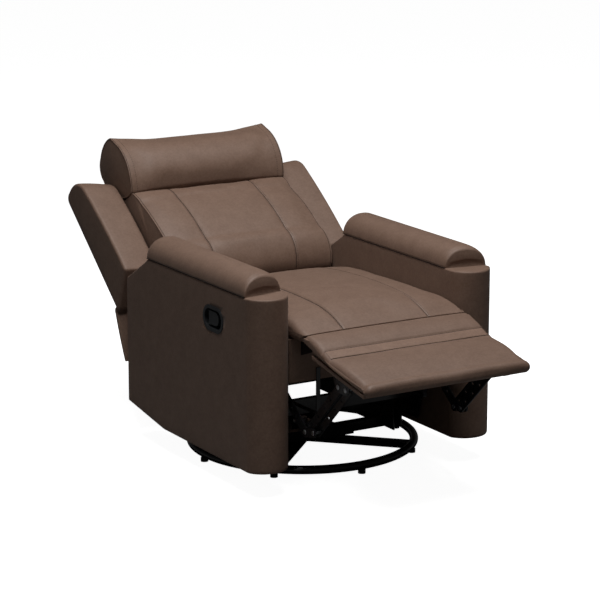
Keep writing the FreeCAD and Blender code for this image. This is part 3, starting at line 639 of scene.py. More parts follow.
@dataclass
class Stuffed:
    """A form whose YZ outline is carried across X, its side edges rounded over.

    The outline at X comes from profile(x). Near each side it is drawn in along a quarter circle of the
    edge radius, and the sides close with a shallow dome.
    """

    profile: Profile
    x0: float
    x1: float
    edge: float = 10.0
    columns: int = 300
    rows: int = 48
    blur: float = 3.0
    core: Row | None = None
    dome: float = 2.0
    seams: tuple[float, ...] = ()

    def stations(self) -> np.ndarray:
        """X of each row: even across the middle, close along the rounded edges and beside seams."""
        turn = np.linspace(0, np.pi / 2, 9)
        rim = self.edge * (1 - np.cos(turn))
        inner = np.linspace(self.x0 + self.edge, self.x1 - self.edge, self.rows)
        steps = (-7, -4.5, -3, -1.8, -0.8, 0, 0.8, 1.8, 3, 4.5, 7)
        beside = [x + step for x in self.seams for step in steps]
        inner = [x for x in inner if all(abs(x - seam) > 8 for seam in self.seams)]
        return np.unique(np.round(np.concatenate([self.x0 + rim, inner, beside, self.x1 - rim]), 4))

    def tuck(self, x: float) -> float:
        """How far the outline is drawn in at X."""
        near = min(x - self.x0, self.x1 - x)
        if near >= self.edge:
            return 0.0
        return self.edge - np.sqrt(max(self.edge**2 - (self.edge - near) ** 2, 0.0))

    def grid(self, stations: np.ndarray | None = None, columns: int | None = None) -> np.ndarray:
        """Loops of the form as an array (rows, columns, 3)."""
        xs = self.stations() if stations is None else stations
        count = columns or self.columns
        loops = []
        for x in xs:
            loop = soften(resample(self.profile(float(x)), count), self.blur)
            loop = drawn_in(loop, self.tuck(float(x)))
            loops.append(np.column_stack([np.full(count, x), loop]))
        return np.array(loops)

    def closed(self, grid: np.ndarray) -> Surface:
        """The closed surface through the form's loops."""
        return across(grid, None if self.core is None else np.array(self.core), self.dome)

    def surface(self) -> Surface:
        """The closed surface of the form as it is."""
        return self.closed(self.grid())

    def blown(self, press: ClothPress, held: Held) -> tuple[np.ndarray, np.ndarray, np.ndarray]:
        """Args:
            press: The cloth simulation.
            held: Pin weight, 0 to 1, of points (..., 3).
        """
        grid = self.grid()
        grid = grid + press.swell(self, held)
        return self.stations(), grid, grid_normals(grid)


def grid_normals(grid: np.ndarray) -> np.ndarray:
    """Unit normals of a grid of loops, from the cross product of its two tangents, turned outward."""
    along = np.gradient(grid, axis=0)
    around = np.roll(grid, -1, 1) - np.roll(grid, 1, 1)
    normal = np.cross(along, around)
    normal /= np.maximum(np.linalg.norm(normal, axis=-1, keepdims=True), 1e-9)
    middle = grid.mean(axis=1, keepdims=True)
    return normal * np.sign(np.sum(normal * (grid - middle)))


def groove(distance: np.ndarray, depth: float = 2.2, width: float = 3.2) -> np.ndarray:
    """Depth of a sewn seam at a distance from its line, as a bell curve."""
    return depth * np.exp(-((distance / width) ** 2))


def pinned(distance: np.ndarray) -> np.ndarray:
    """Pin weight at a distance from a seam's line."""
    return np.exp(-((distance / 5) ** 2))


@dataclass
class ClothPress:
    """Blender's cloth with air pressure, run on a coarse copy of a stuffed form.

    The seams and edges are pinned, so that the fabric swells between them. What each point moved is then
    read off and laid on the fine grid.
    """

    pressure: float = 3.0
    most: float = 9.0
    frames: int = 18
    pitch: float = 9.0
    slack: float = 0.012
    calm: int = 10

    def swell(self, form: Stuffed, held: Held) -> np.ndarray:
        """Simulate a form on a coarse grid.

        Args:
            form: The form to blow up.
            held: Pin weight, 0 to 1, of points (..., 3).

        Returns:
            Movement of every point of the form's own grid.
        """
        width = form.x1 - form.x0
        rim = 0.35 * form.edge
        stations = np.linspace(form.x0 + rim, form.x1 - rim, int(width / self.pitch))
        count = max(60, int(perimeter(form.profile((form.x0 + form.x1) / 2)) / self.pitch))
        grid = form.grid(stations, count)
        surface = form.closed(grid)
        moved = self.run(surface, held(surface.points))
        shift = moved[:grid.shape[0] * count].reshape(grid.shape) - grid
        for _ in range(self.calm):
            shift = 0.5 * shift + 0.25 * (np.roll(shift, 1, 1) + np.roll(shift, -1, 1))
            shift[1:-1] = 0.5 * shift[1:-1] + 0.25 * (shift[2:] + shift[:-2])
        size = np.linalg.norm(shift, axis=-1, keepdims=True)
        shift *= np.minimum(1.0, self.most / np.maximum(size, 1e-6)) * (1 - held(grid) ** 2)[..., None]

        wrapped = np.concatenate([shift, shift[:, :1]], axis=1)
        column = np.linspace(0, count, form.columns, endpoint=False)
        low = column.astype(int)
        part = (column - low)[None, :, None]
        around = wrapped[:, low] * (1 - part) + wrapped[:, low + 1] * part
        row = np.interp(form.stations(), stations, np.arange(len(stations)))
        first = np.minimum(row.astype(int), len(stations) - 2)
        share = (row - first)[:, None, None]
        return around[first] * (1 - share) + around[first + 1] * share

    def run(self, surface: Surface, held: np.ndarray) -> np.ndarray:
        """Blow a closed surface up.

        Args:
            surface: Its shape.
            held: Pin weights, one for each vertex.

        Returns:
            Where its vertices end, in millimetres.
        """
        scene = bpy.context.scene
        mesh = bpy.data.meshes.new("press")
        mesh.from_pydata((surface.points * MM).tolist(), [], surface.faces)
        form = bpy.data.objects.new("press", mesh)
        scene.collection.objects.link(form)
        group = form.vertex_groups.new(name="held")
        for level in np.unique(np.round(held, 1)):
            chosen = np.flatnonzero(np.round(held, 1) == level)
            if level > 0:
                group.add(chosen.tolist(), float(level), "REPLACE")
        cloth = form.modifiers.new("press", "CLOTH")
        settings = cloth.settings
        settings.quality = 5
        settings.mass = 0.3
        settings.tension_stiffness = 40.0
        settings.compression_stiffness = 40.0
        settings.shear_stiffness = 12.0
        settings.bending_stiffness = 3.0
        settings.vertex_group_mass = "held"
        settings.shrink_min = -self.slack
        settings.use_pressure = True
        settings.uniform_pressure_force = self.pressure
        settings.effector_weights.gravity = 0.0
        cloth.collision_settings.use_collision = False
        cloth.point_cache.frame_start = 1
        cloth.point_cache.frame_end = self.frames
        for number in range(1, self.frames + 1):
            scene.frame_set(number)
        shaped = form.evaluated_get(bpy.context.evaluated_depsgraph_get())
        places = np.empty(len(mesh.vertices) * 3, np.float32)
        shaped.data.vertices.foreach_get("co", places)
        scene.frame_set(1)
        bpy.data.objects.remove(form)
        bpy.data.meshes.remove(mesh)
        return places.reshape(-1, 3).astype(float) / MM


def perimeter(loop: np.ndarray) -> float:
    """Length of a closed loop."""
    return float(np.hypot(*(np.roll(loop, -1, 0) - loop).T).sum())


def nearest_row(stations: np.ndarray, x: float) -> int:
    """Number of the station nearest to X."""
    return int(np.argmin(np.abs(stations - x)))


def rivet(at: Row, side: float, radius: float, rise: float) -> Surface:
    """Domed head of a pin that points along X.

    Args:
        at: Middle of its seat (x, y, z).
        side: 1 where it stands out towards +X, -1 towards -X.
        radius: Its radius.
        rise: Its height.

    Returns:
        The head.
    """
    turn = np.linspace(0, 2 * np.pi, 20, endpoint=False)
    rings = []
    for share, height in ((1.0, 0.0), (1.0, 0.45), (0.86, 0.8), (0.55, 1.0), (0.1, 1.0)):
        rings.append(np.column_stack([np.full(20, at[0] + side * rise * height),
                                      at[1] + share * radius * np.cos(turn),
                                      at[2] + share * radius * np.sin(turn)]))
    return across(np.array(rings))


# Seat and footrest

CHAISE = (-464.0, 428.0)
STITCH_X = 138.0
SEAM_TOP = (-537.0, -573.0)


def around(radius: float, degrees: float) -> Row:
    """Point on a circle about the chaise hinge, its angle counted from the rear towards the top."""
    turn = np.radians(degrees)
    return (CHAISE[0] + radius * np.cos(turn), CHAISE[1] + radius * np.sin(turn))


def roll_radius(x: float) -> float:
    """Radius of the roll over the chaise hinge, larger at the middle."""
    return 34.0 + 2.5 * float(crown(x))


@dataclass
class Seat:
    """Seat cushion with its two lengthwise seams, and the rail below its front."""

    finishes: Finishes
    bottom: float = 372.0
    side_top: float = 485.0
    rise: float = 27.0
    lip: float = 436.0
    hip: float = -355.0

    def profile(self, x: float) -> np.ndarray:
        """Outline at X: hollow round the chaise roll, crowned top and sloping rear."""
        c = float(crown(x))
        hollow = roll_radius(x) + 0.8
        top, up = self.side_top, self.rise * c
        lip_y = CHAISE[0] + np.sqrt(hollow**2 - (self.lip - CHAISE[1]) ** 2)
        return outline((lip_y, self.lip), (*around(hollow, 40), *around(hollow, 70)),
                       (-385.0, top - 8 + 0.5 * up, -320.0, top - 2 + 0.86 * up),
                       (-110.0, top + up, 103.0, top - 10 + 0.75 * up),
                       (180.0, top - 24 + 0.4 * up, 234.0, top - 43 + 0.3 * up),
                       (238.0, top - 55), (150.0, self.bottom), (self.hip, self.bottom), (self.hip, self.lip))

    def build(self) -> None:
        """Make the cushion, its stitching and the front rail."""
        form = Stuffed(self.profile, -SEAT_HALF, SEAT_HALF, edge=16.0, columns=440, rows=60, blur=4.0,
                       core=(-110.0, 446.0), dome=3.0, seams=(-STITCH_X, STITCH_X))
        xs, grid, normal = form.blown(ClothPress(pressure=2.0, most=4.0), self.held)
        top = np.clip((grid[..., 2] - self.side_top + 45) / 25, 0, 1)
        depth = sum(groove(grid[..., 0] - x) for x in form.seams) * top
        grid = grid - normal * depth[..., None]
        cushion = make("seat_top", form.closed(grid), "carriage", self.finishes.leather, ["seat_cushion"])
        self.stitch(grid, normal, xs)
        rail = Stuffed(lambda x: outline((-376.0, 310.0), (-356.0, 310.0), (-356.0, 435.0), (-376.0, 435.0)),
                       -267.0, 267.0, edge=4.0, columns=160, rows=12, blur=2.5)
        make("front_rail_cover", rail.surface(), "carriage", self.finishes.leather, ["front_rail"])

    @staticmethod
    def held(p: np.ndarray) -> np.ndarray:
        """Pin weight of points: all but the top between its seams."""
        low = np.clip((450 - p[..., 2]) / 15, 0, 1)
        front = np.clip((-425 - p[..., 1]) / 12, 0, 1)
        rear = np.clip((p[..., 1] - 215) / 10, 0, 1)
        return np.max([pinned(np.abs(p[..., 0]) - STITCH_X), low, front, rear], axis=0)

    def stitch(self, grid: np.ndarray, normal: np.ndarray, xs: np.ndarray) -> None:
        """Sew a row of stitches beside each seam and lay a dark line of painted shade along its fold.

        Args:
            grid: The cushion's loops.
            normal: Their normals.
            xs: The loops' stations.
        """
        sewn, seam_shade_lines = [], []
        for seam, beside in ((-STITCH_X, -4.5), (STITCH_X, 4.5)):
            for x, rows in ((seam + beside, sewn), (seam, seam_shade_lines)):
                row = nearest_row(xs, x)
                path, lift = grid[row], normal[row]
                chosen = np.flatnonzero((lift[:, 2] > 0.25) & (path[:, 1] > -446) & (path[:, 1] < 225))
                line = path[chosen]
                rows.append(thread(line, lift[chosen]) if rows is sewn else fold(line))
        make("seat_stitches", together(sewn), "carriage", self.finishes.thread)
        # Dark lines of painted shade along the seams' creases.
        make("seat_seam_painted_shade", together(seam_shade_lines), "carriage", self.finishes.seam)


@dataclass
class Footrest:
    """Footrest pad with the roll over its hinge, the strip sewn across it and the covered board."""

    finishes: Finishes
    nose: float = -765.5
    board_rear: float = -484.0
    board_front: float = -744.5

    def board_top(self, y: float) -> float:
        """Height of the board's upper face."""
        return self.board_low(y) + 12.7

    @staticmethod
    def board_low(y: float) -> float:
        """Height of the board's lower face."""
        return 389.0 + 0.1844 * (y + 559.5)

    def profile(self, x: float) -> np.ndarray:
        """Outline at X: roll, long top, rounded nose and the flat that lies on the board."""
        c = float(crown(x))
        roll = roll_radius(x)
        r, f = self.board_rear, self.board_front
        return outline((r, self.board_top(r)), (*around(14.0, 170), *around(14.0, 90)), around(roll, 22),
                       (*around(roll, 50), *around(roll, 88)),
                       (-503.0, 453.0 + c, SEAM_TOP[0], 437.5), (SEAM_TOP[1], 423.5),
                       (-655.0, 411.0 + 5 * c, -738.0, 386.5 + 3 * c),
                       (self.nose + 0.2, 371.0, -750.0, 358.5),
                       (f, 357.5), (f, self.board_top(f)))

    def build(self) -> None:
        """Make the pad, its seams with their dark lines of painted shade, the pale strip and the board's
        cover.
        """
        form = Stuffed(self.profile, -SEAT_HALF, SEAT_HALF, edge=15.0, columns=430, rows=60, blur=3.5,
                       core=(-600.0, 402.0), dome=3.0)
        grid, normal = form.blown(ClothPress(pressure=2.0, most=2.5), self.held)[1:]
        on_top = np.clip((normal[..., 2] - 0.3) / 0.3, 0, 1)
        depth = sum(groove(grid[..., 1] - y, 1.8, 2.4) for y in SEAM_TOP) * on_top
        grid = grid - normal * depth[..., None]
        pad = make("footrest_top", form.closed(grid), "", self.finishes.leather, ["footrest_pad"])
        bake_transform(pad)
        self.strip(grid, normal)
        self.board()

    def held(self, p: np.ndarray) -> np.ndarray:
        """Pin weight of points: the seams, the roll and the underside."""
        seam = np.max([pinned(p[..., 1] - y) for y in SEAM_TOP], axis=0)
        low = np.clip((self.board_top(p[..., 1]) + 10 - p[..., 2]) / 6, 0, 1)
        roll = np.clip((p[..., 1] + 490) / 15, 0, 1)
        return np.max([seam, low, roll], axis=0)

    def strip(self, grid: np.ndarray, normal: np.ndarray) -> None:
        """Lay the pale strip between the two seams, half a millimetre proud, and a dark line of painted shade
        along each seam.

        Args:
            grid: The pad's loops.
            normal: Their normals.
        """
        paths = []
        for loop, lift in zip(grid[6:-6], normal[6:-6]):
            top = np.flatnonzero(lift[:, 2] > 0.4)
            order = top[np.argsort(loop[top, 1])]
            y = np.linspace(SEAM_TOP[1] + 1.6, SEAM_TOP[0] - 1.6, 15)
            z = np.interp(y, loop[order, 1], loop[order, 2])
            rise = 0.7 * np.sin(np.linspace(0, np.pi, 15)) ** 0.5 + 0.1
            paths.append(np.column_stack([np.full(15, loop[0, 0]), y, z + rise]))
        upper = np.array(paths)
        # Dark lines of painted shade along the strip's two seams.
        seam_shade_lines = [fold(upper[:, end]) for end in (0, -1)]
        make("footrest_seam_painted_shade", together(seam_shade_lines), "footrest", self.finishes.seam)
        lower = upper[:, ::-1] - (0, 0, 1.5)
        rows = np.concatenate([upper, lower], axis=1)
        make("footrest_strip", across(rows), "footrest", self.finishes.pale_leather)

    def board(self) -> None:
        """Make the fabric-covered board under the pad."""
        thick = 12.2
        r, f = self.board_rear, -744.0

        def profile(x: float) -> np.ndarray:
            low = (r, self.board_low(r)), (f, self.board_low(f))
            return outline(*low, (f, low[1][1] + thick), (r, low[0][1] + thick))

        cover = Stuffed(profile, -262.0, 262.0, edge=3.0, columns=220, rows=10, blur=1.6)
        make("footrest_board_cover", cover.surface(), "footrest", self.finishes.leather, ["footrest_board"])


# Arms


@dataclass
class Arm:
    """One arm: the upholstered box with its rounded front, and the padded roll on top."""

    finishes: Finishes
    side: Side
    inner: float = 268.0
    outer: float = 395.0
    front: float = -368.0
    nose: float = 49.0
    toe: float = 9.0
    top: float = 562.0
    bottom: float = 74.0
    pad_front: float = -334.0
    pad_skew: float = 22.0
    pad_rear: float = 215.0
    pad_height: float = 60.0
    handle: Row = (-185.0, 468.0)
    opening: Row = (52.0, 32.0)

    def front_at(self, x: float) -> float:
        """Y of the rounded front at X: the arc through both front corners and the nose."""
        half = (self.outer - self.inner) / 2
        radius = (half**2 + self.nose**2) / (2 * self.nose)
        off = abs(x) - (self.outer + self.inner) / 2
        return self.front - self.nose + radius - float(np.sqrt(radius**2 - off**2))

    def profile(self, x: float) -> np.ndarray:
        """Side outline of the box at X."""
        nose, toe = self.front_at(x), self.toe
        return outline((nose, self.bottom + toe),
                       (nose + toe * 0.29, self.bottom + toe * 0.29, nose + toe, self.bottom),
                       (121.5, self.bottom), (341.5, 108.0), (341.5, 467.0),
                       (338.5, 479.0, 327.5, 487.4), (202.5, self.top), (nose, self.top))

    def placed(self, surface: Surface) -> Surface:
        """A surface drawn for the left side, on this arm's side."""
        return surface if self.side is Side.LEFT else surface.mirrored()

    def build(self) -> None:
        """Make the box, the roll and its stitching."""
        word = self.side.word
        box = Stuffed(self.profile, self.inner, self.outer, edge=5.0, columns=520, rows=30, blur=2.2,
                      core=(20.0, 320.0), dome=1.5)
        panel = make(f"arm_box_{word}", self.placed(box.surface()), "carriage", self.finishes.leather,
                     [f"arm_{word}"])
        if self.side is Side.RIGHT:
            self.pocket(panel)
        self.roll()

    def pocket(self, panel: bpy.types.Object) -> None:
        """Cut the opening that the handle's cup sits in.

        Args:
            panel: The arm box.
        """
        turn = np.linspace(0, 2 * np.pi, 48, endpoint=False)
        oval = np.column_stack([self.handle[0] + self.opening[0] * np.cos(turn),
                                self.handle[1] + self.opening[1] * np.sin(turn)])
        rows = np.array([np.column_stack([np.full(48, x), oval]) for x in (-402.0, -366.0)])
        cutter_mesh = bpy.data.meshes.new("cutter")
        shape = across(rows)
        cutter_mesh.from_pydata((shape.points * MM).tolist(), [], shape.faces)
        cutter = bpy.data.objects.new("cutter", cutter_mesh)
        bpy.context.scene.collection.objects.link(cutter)
        cut = panel.modifiers.new("pocket", "BOOLEAN")
        cut.object = cutter
        cut.operation = "DIFFERENCE"
        cut.solver = "EXACT"
        shaped = panel.evaluated_get(bpy.context.evaluated_depsgraph_get())
        panel.data = bpy.data.meshes.new_from_object(shaped)
        panel.modifiers.clear()
        bpy.data.objects.remove(cutter)

    def arch(self, y: float, inset: float, height: float, skew: float = 0.0, count: int = 60) -> np.ndarray:
        """Cross-section of the roll: an arch over a straight foot, its outer side further forward.

        Args:
            y: Where its inner side stands.
            inset: How far both sides are drawn in.
            height: Its height.
            skew: How much further forward its outer side stands.
            count: Points of the arch.

        Returns:
            Closed loop (n, 3).
        """
        half = (self.outer - self.inner) / 2 - inset
        turn = np.linspace(0, np.pi, count)
        x = (self.outer + self.inner) / 2 + half * np.sign(np.cos(turn)) * np.abs(np.cos(turn)) ** 0.9
        z = self.top + height * np.sin(turn) ** 0.9
        foot = np.linspace(x[-1], x[0], 14)[1:-1]
        base = np.column_stack([foot, np.full(12, self.top - 0.5)])
        section = np.vstack([np.column_stack([x, z]), base])
        out = np.clip((section[:, 0] - self.inner) / (self.outer - self.inner), 0, 1)
        return np.column_stack([section[:, 0], y - skew * out, section[:, 1]])

    def roll(self) -> None:
        """Make the padded roll, blunt at its rear and sloping down at its front."""
        word = self.side.word
        quarter = np.linspace(0, np.pi / 2, 12)
        rear = [(self.pad_rear - 16 * (1 - np.cos(t)), 5 * (1 - np.sin(t)),
                 self.pad_height - 20 * (1 - np.sin(t)), 0.0) for t in quarter]
        body = [(y, 0.3, self.pad_height, self.pad_skew * np.clip((-200 - y) / 80, 0, 1))
                for y in np.linspace(self.pad_rear - 26, self.pad_front + 52, 40)[:-1]]
        body += [(self.pad_front + 12 + 40 * (1 - np.sin(t)), 0.3, self.pad_height - 5 * (1 - np.cos(t)),
                  self.pad_skew) for t in quarter]
        tip = [(self.pad_front + 12 * (1 - np.sin(t)), 0.3 + 3 * (1 - np.cos(t)),
                self.pad_height - 5 - 11 * (1 - np.cos(t)), self.pad_skew) for t in quarter[1:]]
        rows = np.array([self.arch(*station) for station in rear + body + tip])
        rows = np.concatenate([rows, self.face_rings(rows[-1])])
        roll = make(f"arm_roll_{word}", self.placed(across(rows)), "carriage", self.finishes.leather,
                    [f"arm_pad_{word}"])
        self.foot_stitches()

    def face_rings(self, last: np.ndarray) -> np.ndarray:
        """Rings that close the roll's front face, which tucks in at its foot."""
        middle = last.mean(axis=0)
        low = 1 - np.clip((last[:, 2] - self.top) / 16, 0, 1)
        rings = []
        for share in (0.03, 0.08, 0.16, 0.3, 0.5, 0.7, 0.88, 0.97):
            ring = last + (middle - last) * share
            ring[:, 1] += low * 4 * np.sin(np.pi * share) - 2.5 * (1 - (1 - share) ** 2)
            rings.append(ring)
        return np.array(rings)

    def foot_stitches(self) -> None:
        """Sew two rows of stitches along the outer and inner foot of the roll, with a dark line of painted
        shade along the seam between.
        """
        count = 160
        word = self.side.word
        sewn, foot_seam_shade_lines = [], []
        for x, lift, ahead in ((self.outer - 0.2, (1.0, 0, 0.2), self.pad_skew),
                               (self.inner + 0.2, (-1.0, 0, 0.2), 0.0)):
            y = np.linspace(self.pad_rear - 4, self.pad_front - ahead + 2, count)
            up = np.tile(np.array(lift) / np.linalg.norm(lift), (count, 1))
            for z in (self.top - 4.5, self.top + 5.0):
                sewn.append(thread(np.column_stack([np.full(count, x), y, np.full(count, z)]), up))
            foot_seam_shade_lines.append(fold(np.column_stack([np.full(count, x), y, np.full(count, self.top + 0.2)])))
        make(f"arm_stitches_{word}", self.placed(together(sewn)), "carriage", self.finishes.thread)
        # Dark lines of painted shade along the roll's foot seams.
        make(f"arm_seam_painted_shade_{word}", self.placed(together(foot_seam_shade_lines)), "carriage", self.finishes.seam)


# Back


@dataclass
class Back:
    """Back cushion, headrest pillow, wings and the panels behind them."""

    finishes: Finishes
    cushion_half: float = 263.0
    headrest_half: float = 265.0
    wing_in: float = 270.0
    wing_out: float = 388.0

    def cushion_profile(self, x: float) -> np.ndarray:
        """Outline of the back cushion at X, down to the frame that it lies on."""
        b = 6.0 * float(crown(x))
        return outline((264.0, 460.0), (276.0 - b, 522.0 + b, 330.0 - 0.5 * b, 567.0 + 0.8 * b),
                       (410.5 - 0.5 * b, 619.0 + b, 500.0 - 0.4 * b, 660.0 + b),
                       (530.0, 675.0 + 0.7 * b, 556.0, 681.0), (590.0, 660.0), (616.0, 650.0), (622.0, 629.5),
                       (348.0, 410.8), (300.0, 418.0, 264.0, 460.0))

    def cushion(self) -> None:
        """Make the back cushion with two lengthwise seams and a welt along each side."""
        form = Stuffed(self.cushion_profile, -self.cushion_half, self.cushion_half, edge=5.0, columns=420,
                       rows=60, blur=4.0, core=(440.0, 570.0), dome=5.0, seams=(-STITCH_X, STITCH_X))
        xs, grid, normal = form.blown(ClothPress(pressure=2.5, most=5.0), self.cushion_held)
        front = np.clip((self.ahead(grid) - 25) / 20, 0, 1)
        depth = sum(groove(grid[..., 0] - x, 2.6, 3.6) for x in form.seams) * front
        grid = grid - normal * depth[..., None]
        cushion = make("back_cushion_cover", form.closed(grid), "back", self.finishes.leather,
                       ["back_cushion"])
        self.cushion_sewing(grid, normal, xs)

    @staticmethod
    def ahead(p: np.ndarray) -> np.ndarray:
        """Distance of points ahead of the frame's sloping front face."""
        slope = 0.798
        return (p[..., 2] - 402.0 - slope * (p[..., 1] - 338.0)) / np.hypot(1, slope)

    def cushion_held(self, p: np.ndarray) -> np.ndarray:
        """Pin weight of points: all but the front between its seams."""
        behind = np.clip((22 - self.ahead(p)) / 10, 0, 1)
        low = np.clip((505 - p[..., 2]) / 25, 0, 1)
        return np.max([pinned(np.abs(p[..., 0]) - STITCH_X), behind, low], axis=0)

    def cushion_sewing(self, grid: np.ndarray, normal: np.ndarray, xs: np.ndarray) -> None:
        """Sew stitches beside the seams, lay a welt along each side edge, and lay dark lines of painted shade
        along the seams and inside the welts.

        Args:
            grid: The cushion's loops.
            normal: Their normals.
            xs: The loops' stations.
        """
        sewn, seam_shade_lines = [], []
        side = self.cushion_half
        for seam, beside in ((-STITCH_X, -4.5), (STITCH_X, 4.5), (-side, 9), (side, -9)):
            row = nearest_row(xs, seam + beside)
            chosen = self.front_run(grid[row])
            sewn.append(thread(grid[row][chosen], normal[row][chosen]))
            if abs(seam) == STITCH_X:
                line = grid[nearest_row(xs, seam)]
                seam_shade_lines.append(fold(line[self.front_run(line)]))
        make("back_stitches", together(sewn), "back", self.finishes.thread)
        welts = []
        for row, inner in ((4, 8), (len(xs) - 5, len(xs) - 9)):
            welts.append(tube(grid[row][self.front_run(grid[row])], 1.9))
            # Dark line of painted shade inside each welt, where its crease would be in shadow.
            seam_shade_lines.append(fold(grid[inner][self.front_run(grid[inner])], 0.7))
        make("back_welts", together(welts), "back", self.finishes.leather)
        make("back_seam_painted_shade", together(seam_shade_lines), "back", self.finishes.seam)

    def front_run(self, loop: np.ndarray) -> np.ndarray:
        """Numbers of a loop's points on the cushion's front, in order."""
        on = (self.ahead(loop) > 34) & (loop[:, 1] < 575) & (loop[:, 2] > 462)
        numbers = np.flatnonzero(on)
        breaks = np.flatnonzero(np.diff(numbers) > 1)
        return np.roll(numbers, -(breaks[0] + 1)) if len(breaks) else numbers

    def headrest_profile(self, x: float) -> np.ndarray:
        """Leaf-shaped outline of the pillow at X, its pointed top highest at the ends."""
        g = 9.5 * (1 - min(1.0, abs(x) / (0.98 * self.headrest_half)) ** 4)
        return outline((556.0 + 0.6 * g, 683.0 + 0.4 * g), (574.0, 755.0, 650.0, 815.0 - 0.6 * g),
                       (692.0, 828.5 - 1.1 * g), (737.0 - g, 799.0 - g, 759.0 - g, 757.0 - 0.4 * g),
                       (765.5 - g, 726.0, 742.0 - g, 688.0), (684.0, 652.0, 622.0, 655.0),
                       (588.0, 663.0, 556.0 + 0.6 * g, 683.0 + 0.4 * g))

    def headrest(self) -> None:
        """Make the pillow with a welt round each end, a dark ring of painted shade inside each welt and a row
        of stitches.
        """
        form = Stuffed(self.headrest_profile, -self.headrest_half, self.headrest_half, edge=3.0, columns=300,
                       rows=60, blur=2.6, core=(660.0, 735.0), dome=7.0)
        xs, grid, normal = form.blown(ClothPress(pressure=1.2, most=4.0, slack=0.02), self.headrest_held)
        pillow = make("headrest_cover", form.closed(grid), "back", self.finishes.leather, ["headrest"])
        welts, seam_shade_lines, sewn = [], [], []
        for row, inner, beside in ((3, 7, 10), (len(xs) - 4, len(xs) - 8, len(xs) - 11)):
            welts.append(tube(grid[row], 2.0, closed=True))
            # Dark ring of painted shade inside the welt, where its crease is in shadow.
            seam_shade_lines.append(fold(grid[inner], 0.8, closed=True))
            sewn.append(thread(grid[beside], normal[beside]))
        make("headrest_welts", together(welts), "back", self.finishes.leather)
        make("headrest_seam_painted_shade", together(seam_shade_lines), "back", self.finishes.seam)
        make("headrest_stitches", together(sewn), "back", self.finishes.thread)

    @staticmethod
    def headrest_held(p: np.ndarray) -> np.ndarray:
        """Pin weight of points: the pillow's ends and its underside."""
        ends = np.clip((np.abs(p[..., 0]) - 248) / 12, 0, 1)
        low = np.clip((668 - p[..., 2]) / 8, 0, 1)
        return np.maximum(ends, low)

    def wing_profile(self, x: float) -> np.ndarray:
        """Outline of a wing at X, its front falling towards the cushion."""
        t = (abs(x) - self.wing_in) / (self.wing_out - self.wing_in)
        d = 1.0 + 14.0 * (1 - t) ** 1.6
        return outline((363.0 + 0.5 * d, 499.0 - 0.9 * d),
                       (501.0 + 0.5 * d, 608.0 - 0.8 * d, 634.0, 697.0 - d),
                       (690.0 - 0.3 * d, 701.0 - d, 735.0 - 0.4 * d, 668.0 - 0.5 * d),
                       (746.0 - 0.4 * d, 650.0 - 0.2 * d, 740.0 - 0.4 * d, 630.0),
                       (426.0 - 0.2 * d, 366.0 + 0.2 * d), (417.0, 362.0 + 0.5 * d, 411.0, 368.0 + 0.7 * d))

    def wings(self) -> None:
        """Make both wings."""
        form = Stuffed(self.wing_profile, self.wing_in, self.wing_out, edge=9.0, columns=300, rows=20,
                       blur=4.0, core=(550.0, 530.0), dome=2.0)
        surface = form.surface()
        for side in Side:
            shape = surface if side is Side.LEFT else surface.mirrored()
            wing = make(f"wing_cover_{side.word}", shape, "back", self.finishes.leather,
                        [f"wing_{side.word}"])

    def panels(self) -> None:
        """Make the covered frame between the wings and the curved panel below them."""
        frame = Stuffed(lambda x: outline((338.0, 402.0), (640.0, 643.0), (690.0, 649.0, 738.0, 675.0),
                                          (745.0, 662.0, 738.0, 632.0), (424.0, 366.0),
                                          (380.0, 350.0, 344.0, 360.0)),
                        -265.4, 265.4, edge=3.0, columns=260, rows=20, blur=3.0,
                        core=(500.0, 480.0), dome=0.0)
        make("back_frame_cover", frame.surface(), "back", self.finishes.leather, ["back_shell"])
        skirt = Stuffed(lambda x: outline((430.0, 372.0), (439.0, 362.0, 436.0, 350.0),
                                          (409.0, 282.0, 377.0, 216.0), (370.0, 219.0),
                                          (400.0, 284.0, 424.0, 350.0), (424.0, 360.0, 418.0, 364.0)),
                        -386.0, 386.0, edge=2.5, columns=200, rows=24, blur=1.6)
        make("lower_back_cover", skirt.surface(), "back", self.finishes.leather, ["lower_back_panel"])
        rear = Stuffed(lambda x: outline((325.0, 104.0), (337.0, 104.0), (337.0, 330.0), (325.0, 330.0)),
                       -267.0, 267.0, edge=3.0, columns=160, rows=12, blur=2.0)
        make("rear_skirt_cover", rear.surface(), "carriage", self.finishes.leather, ["rear_skirt"])

    def build(self) -> None:
        """Make everything on the back."""
        self.cushion()
        self.headrest()
        self.wings()
        self.panels()


# Base


@dataclass
class Base:
    """The round ring that the chair stands on."""

    finishes: Finishes
    radius: float = 326.5
    thickness: float = 12.5
    height: float = 23.5

    def build(self) -> None:
        """Make the ring: a circle carried round a circle."""
        turn = np.linspace(0, 2 * np.pi, 160, endpoint=False)
        path = np.column_stack([self.radius * np.cos(turn), self.radius * np.sin(turn),
                                np.full(160, self.height)])
        make("ring_tube", tube(path, self.thickness, closed=True, sides=28), "base", self.finishes.paint,
             ["base_ring"])


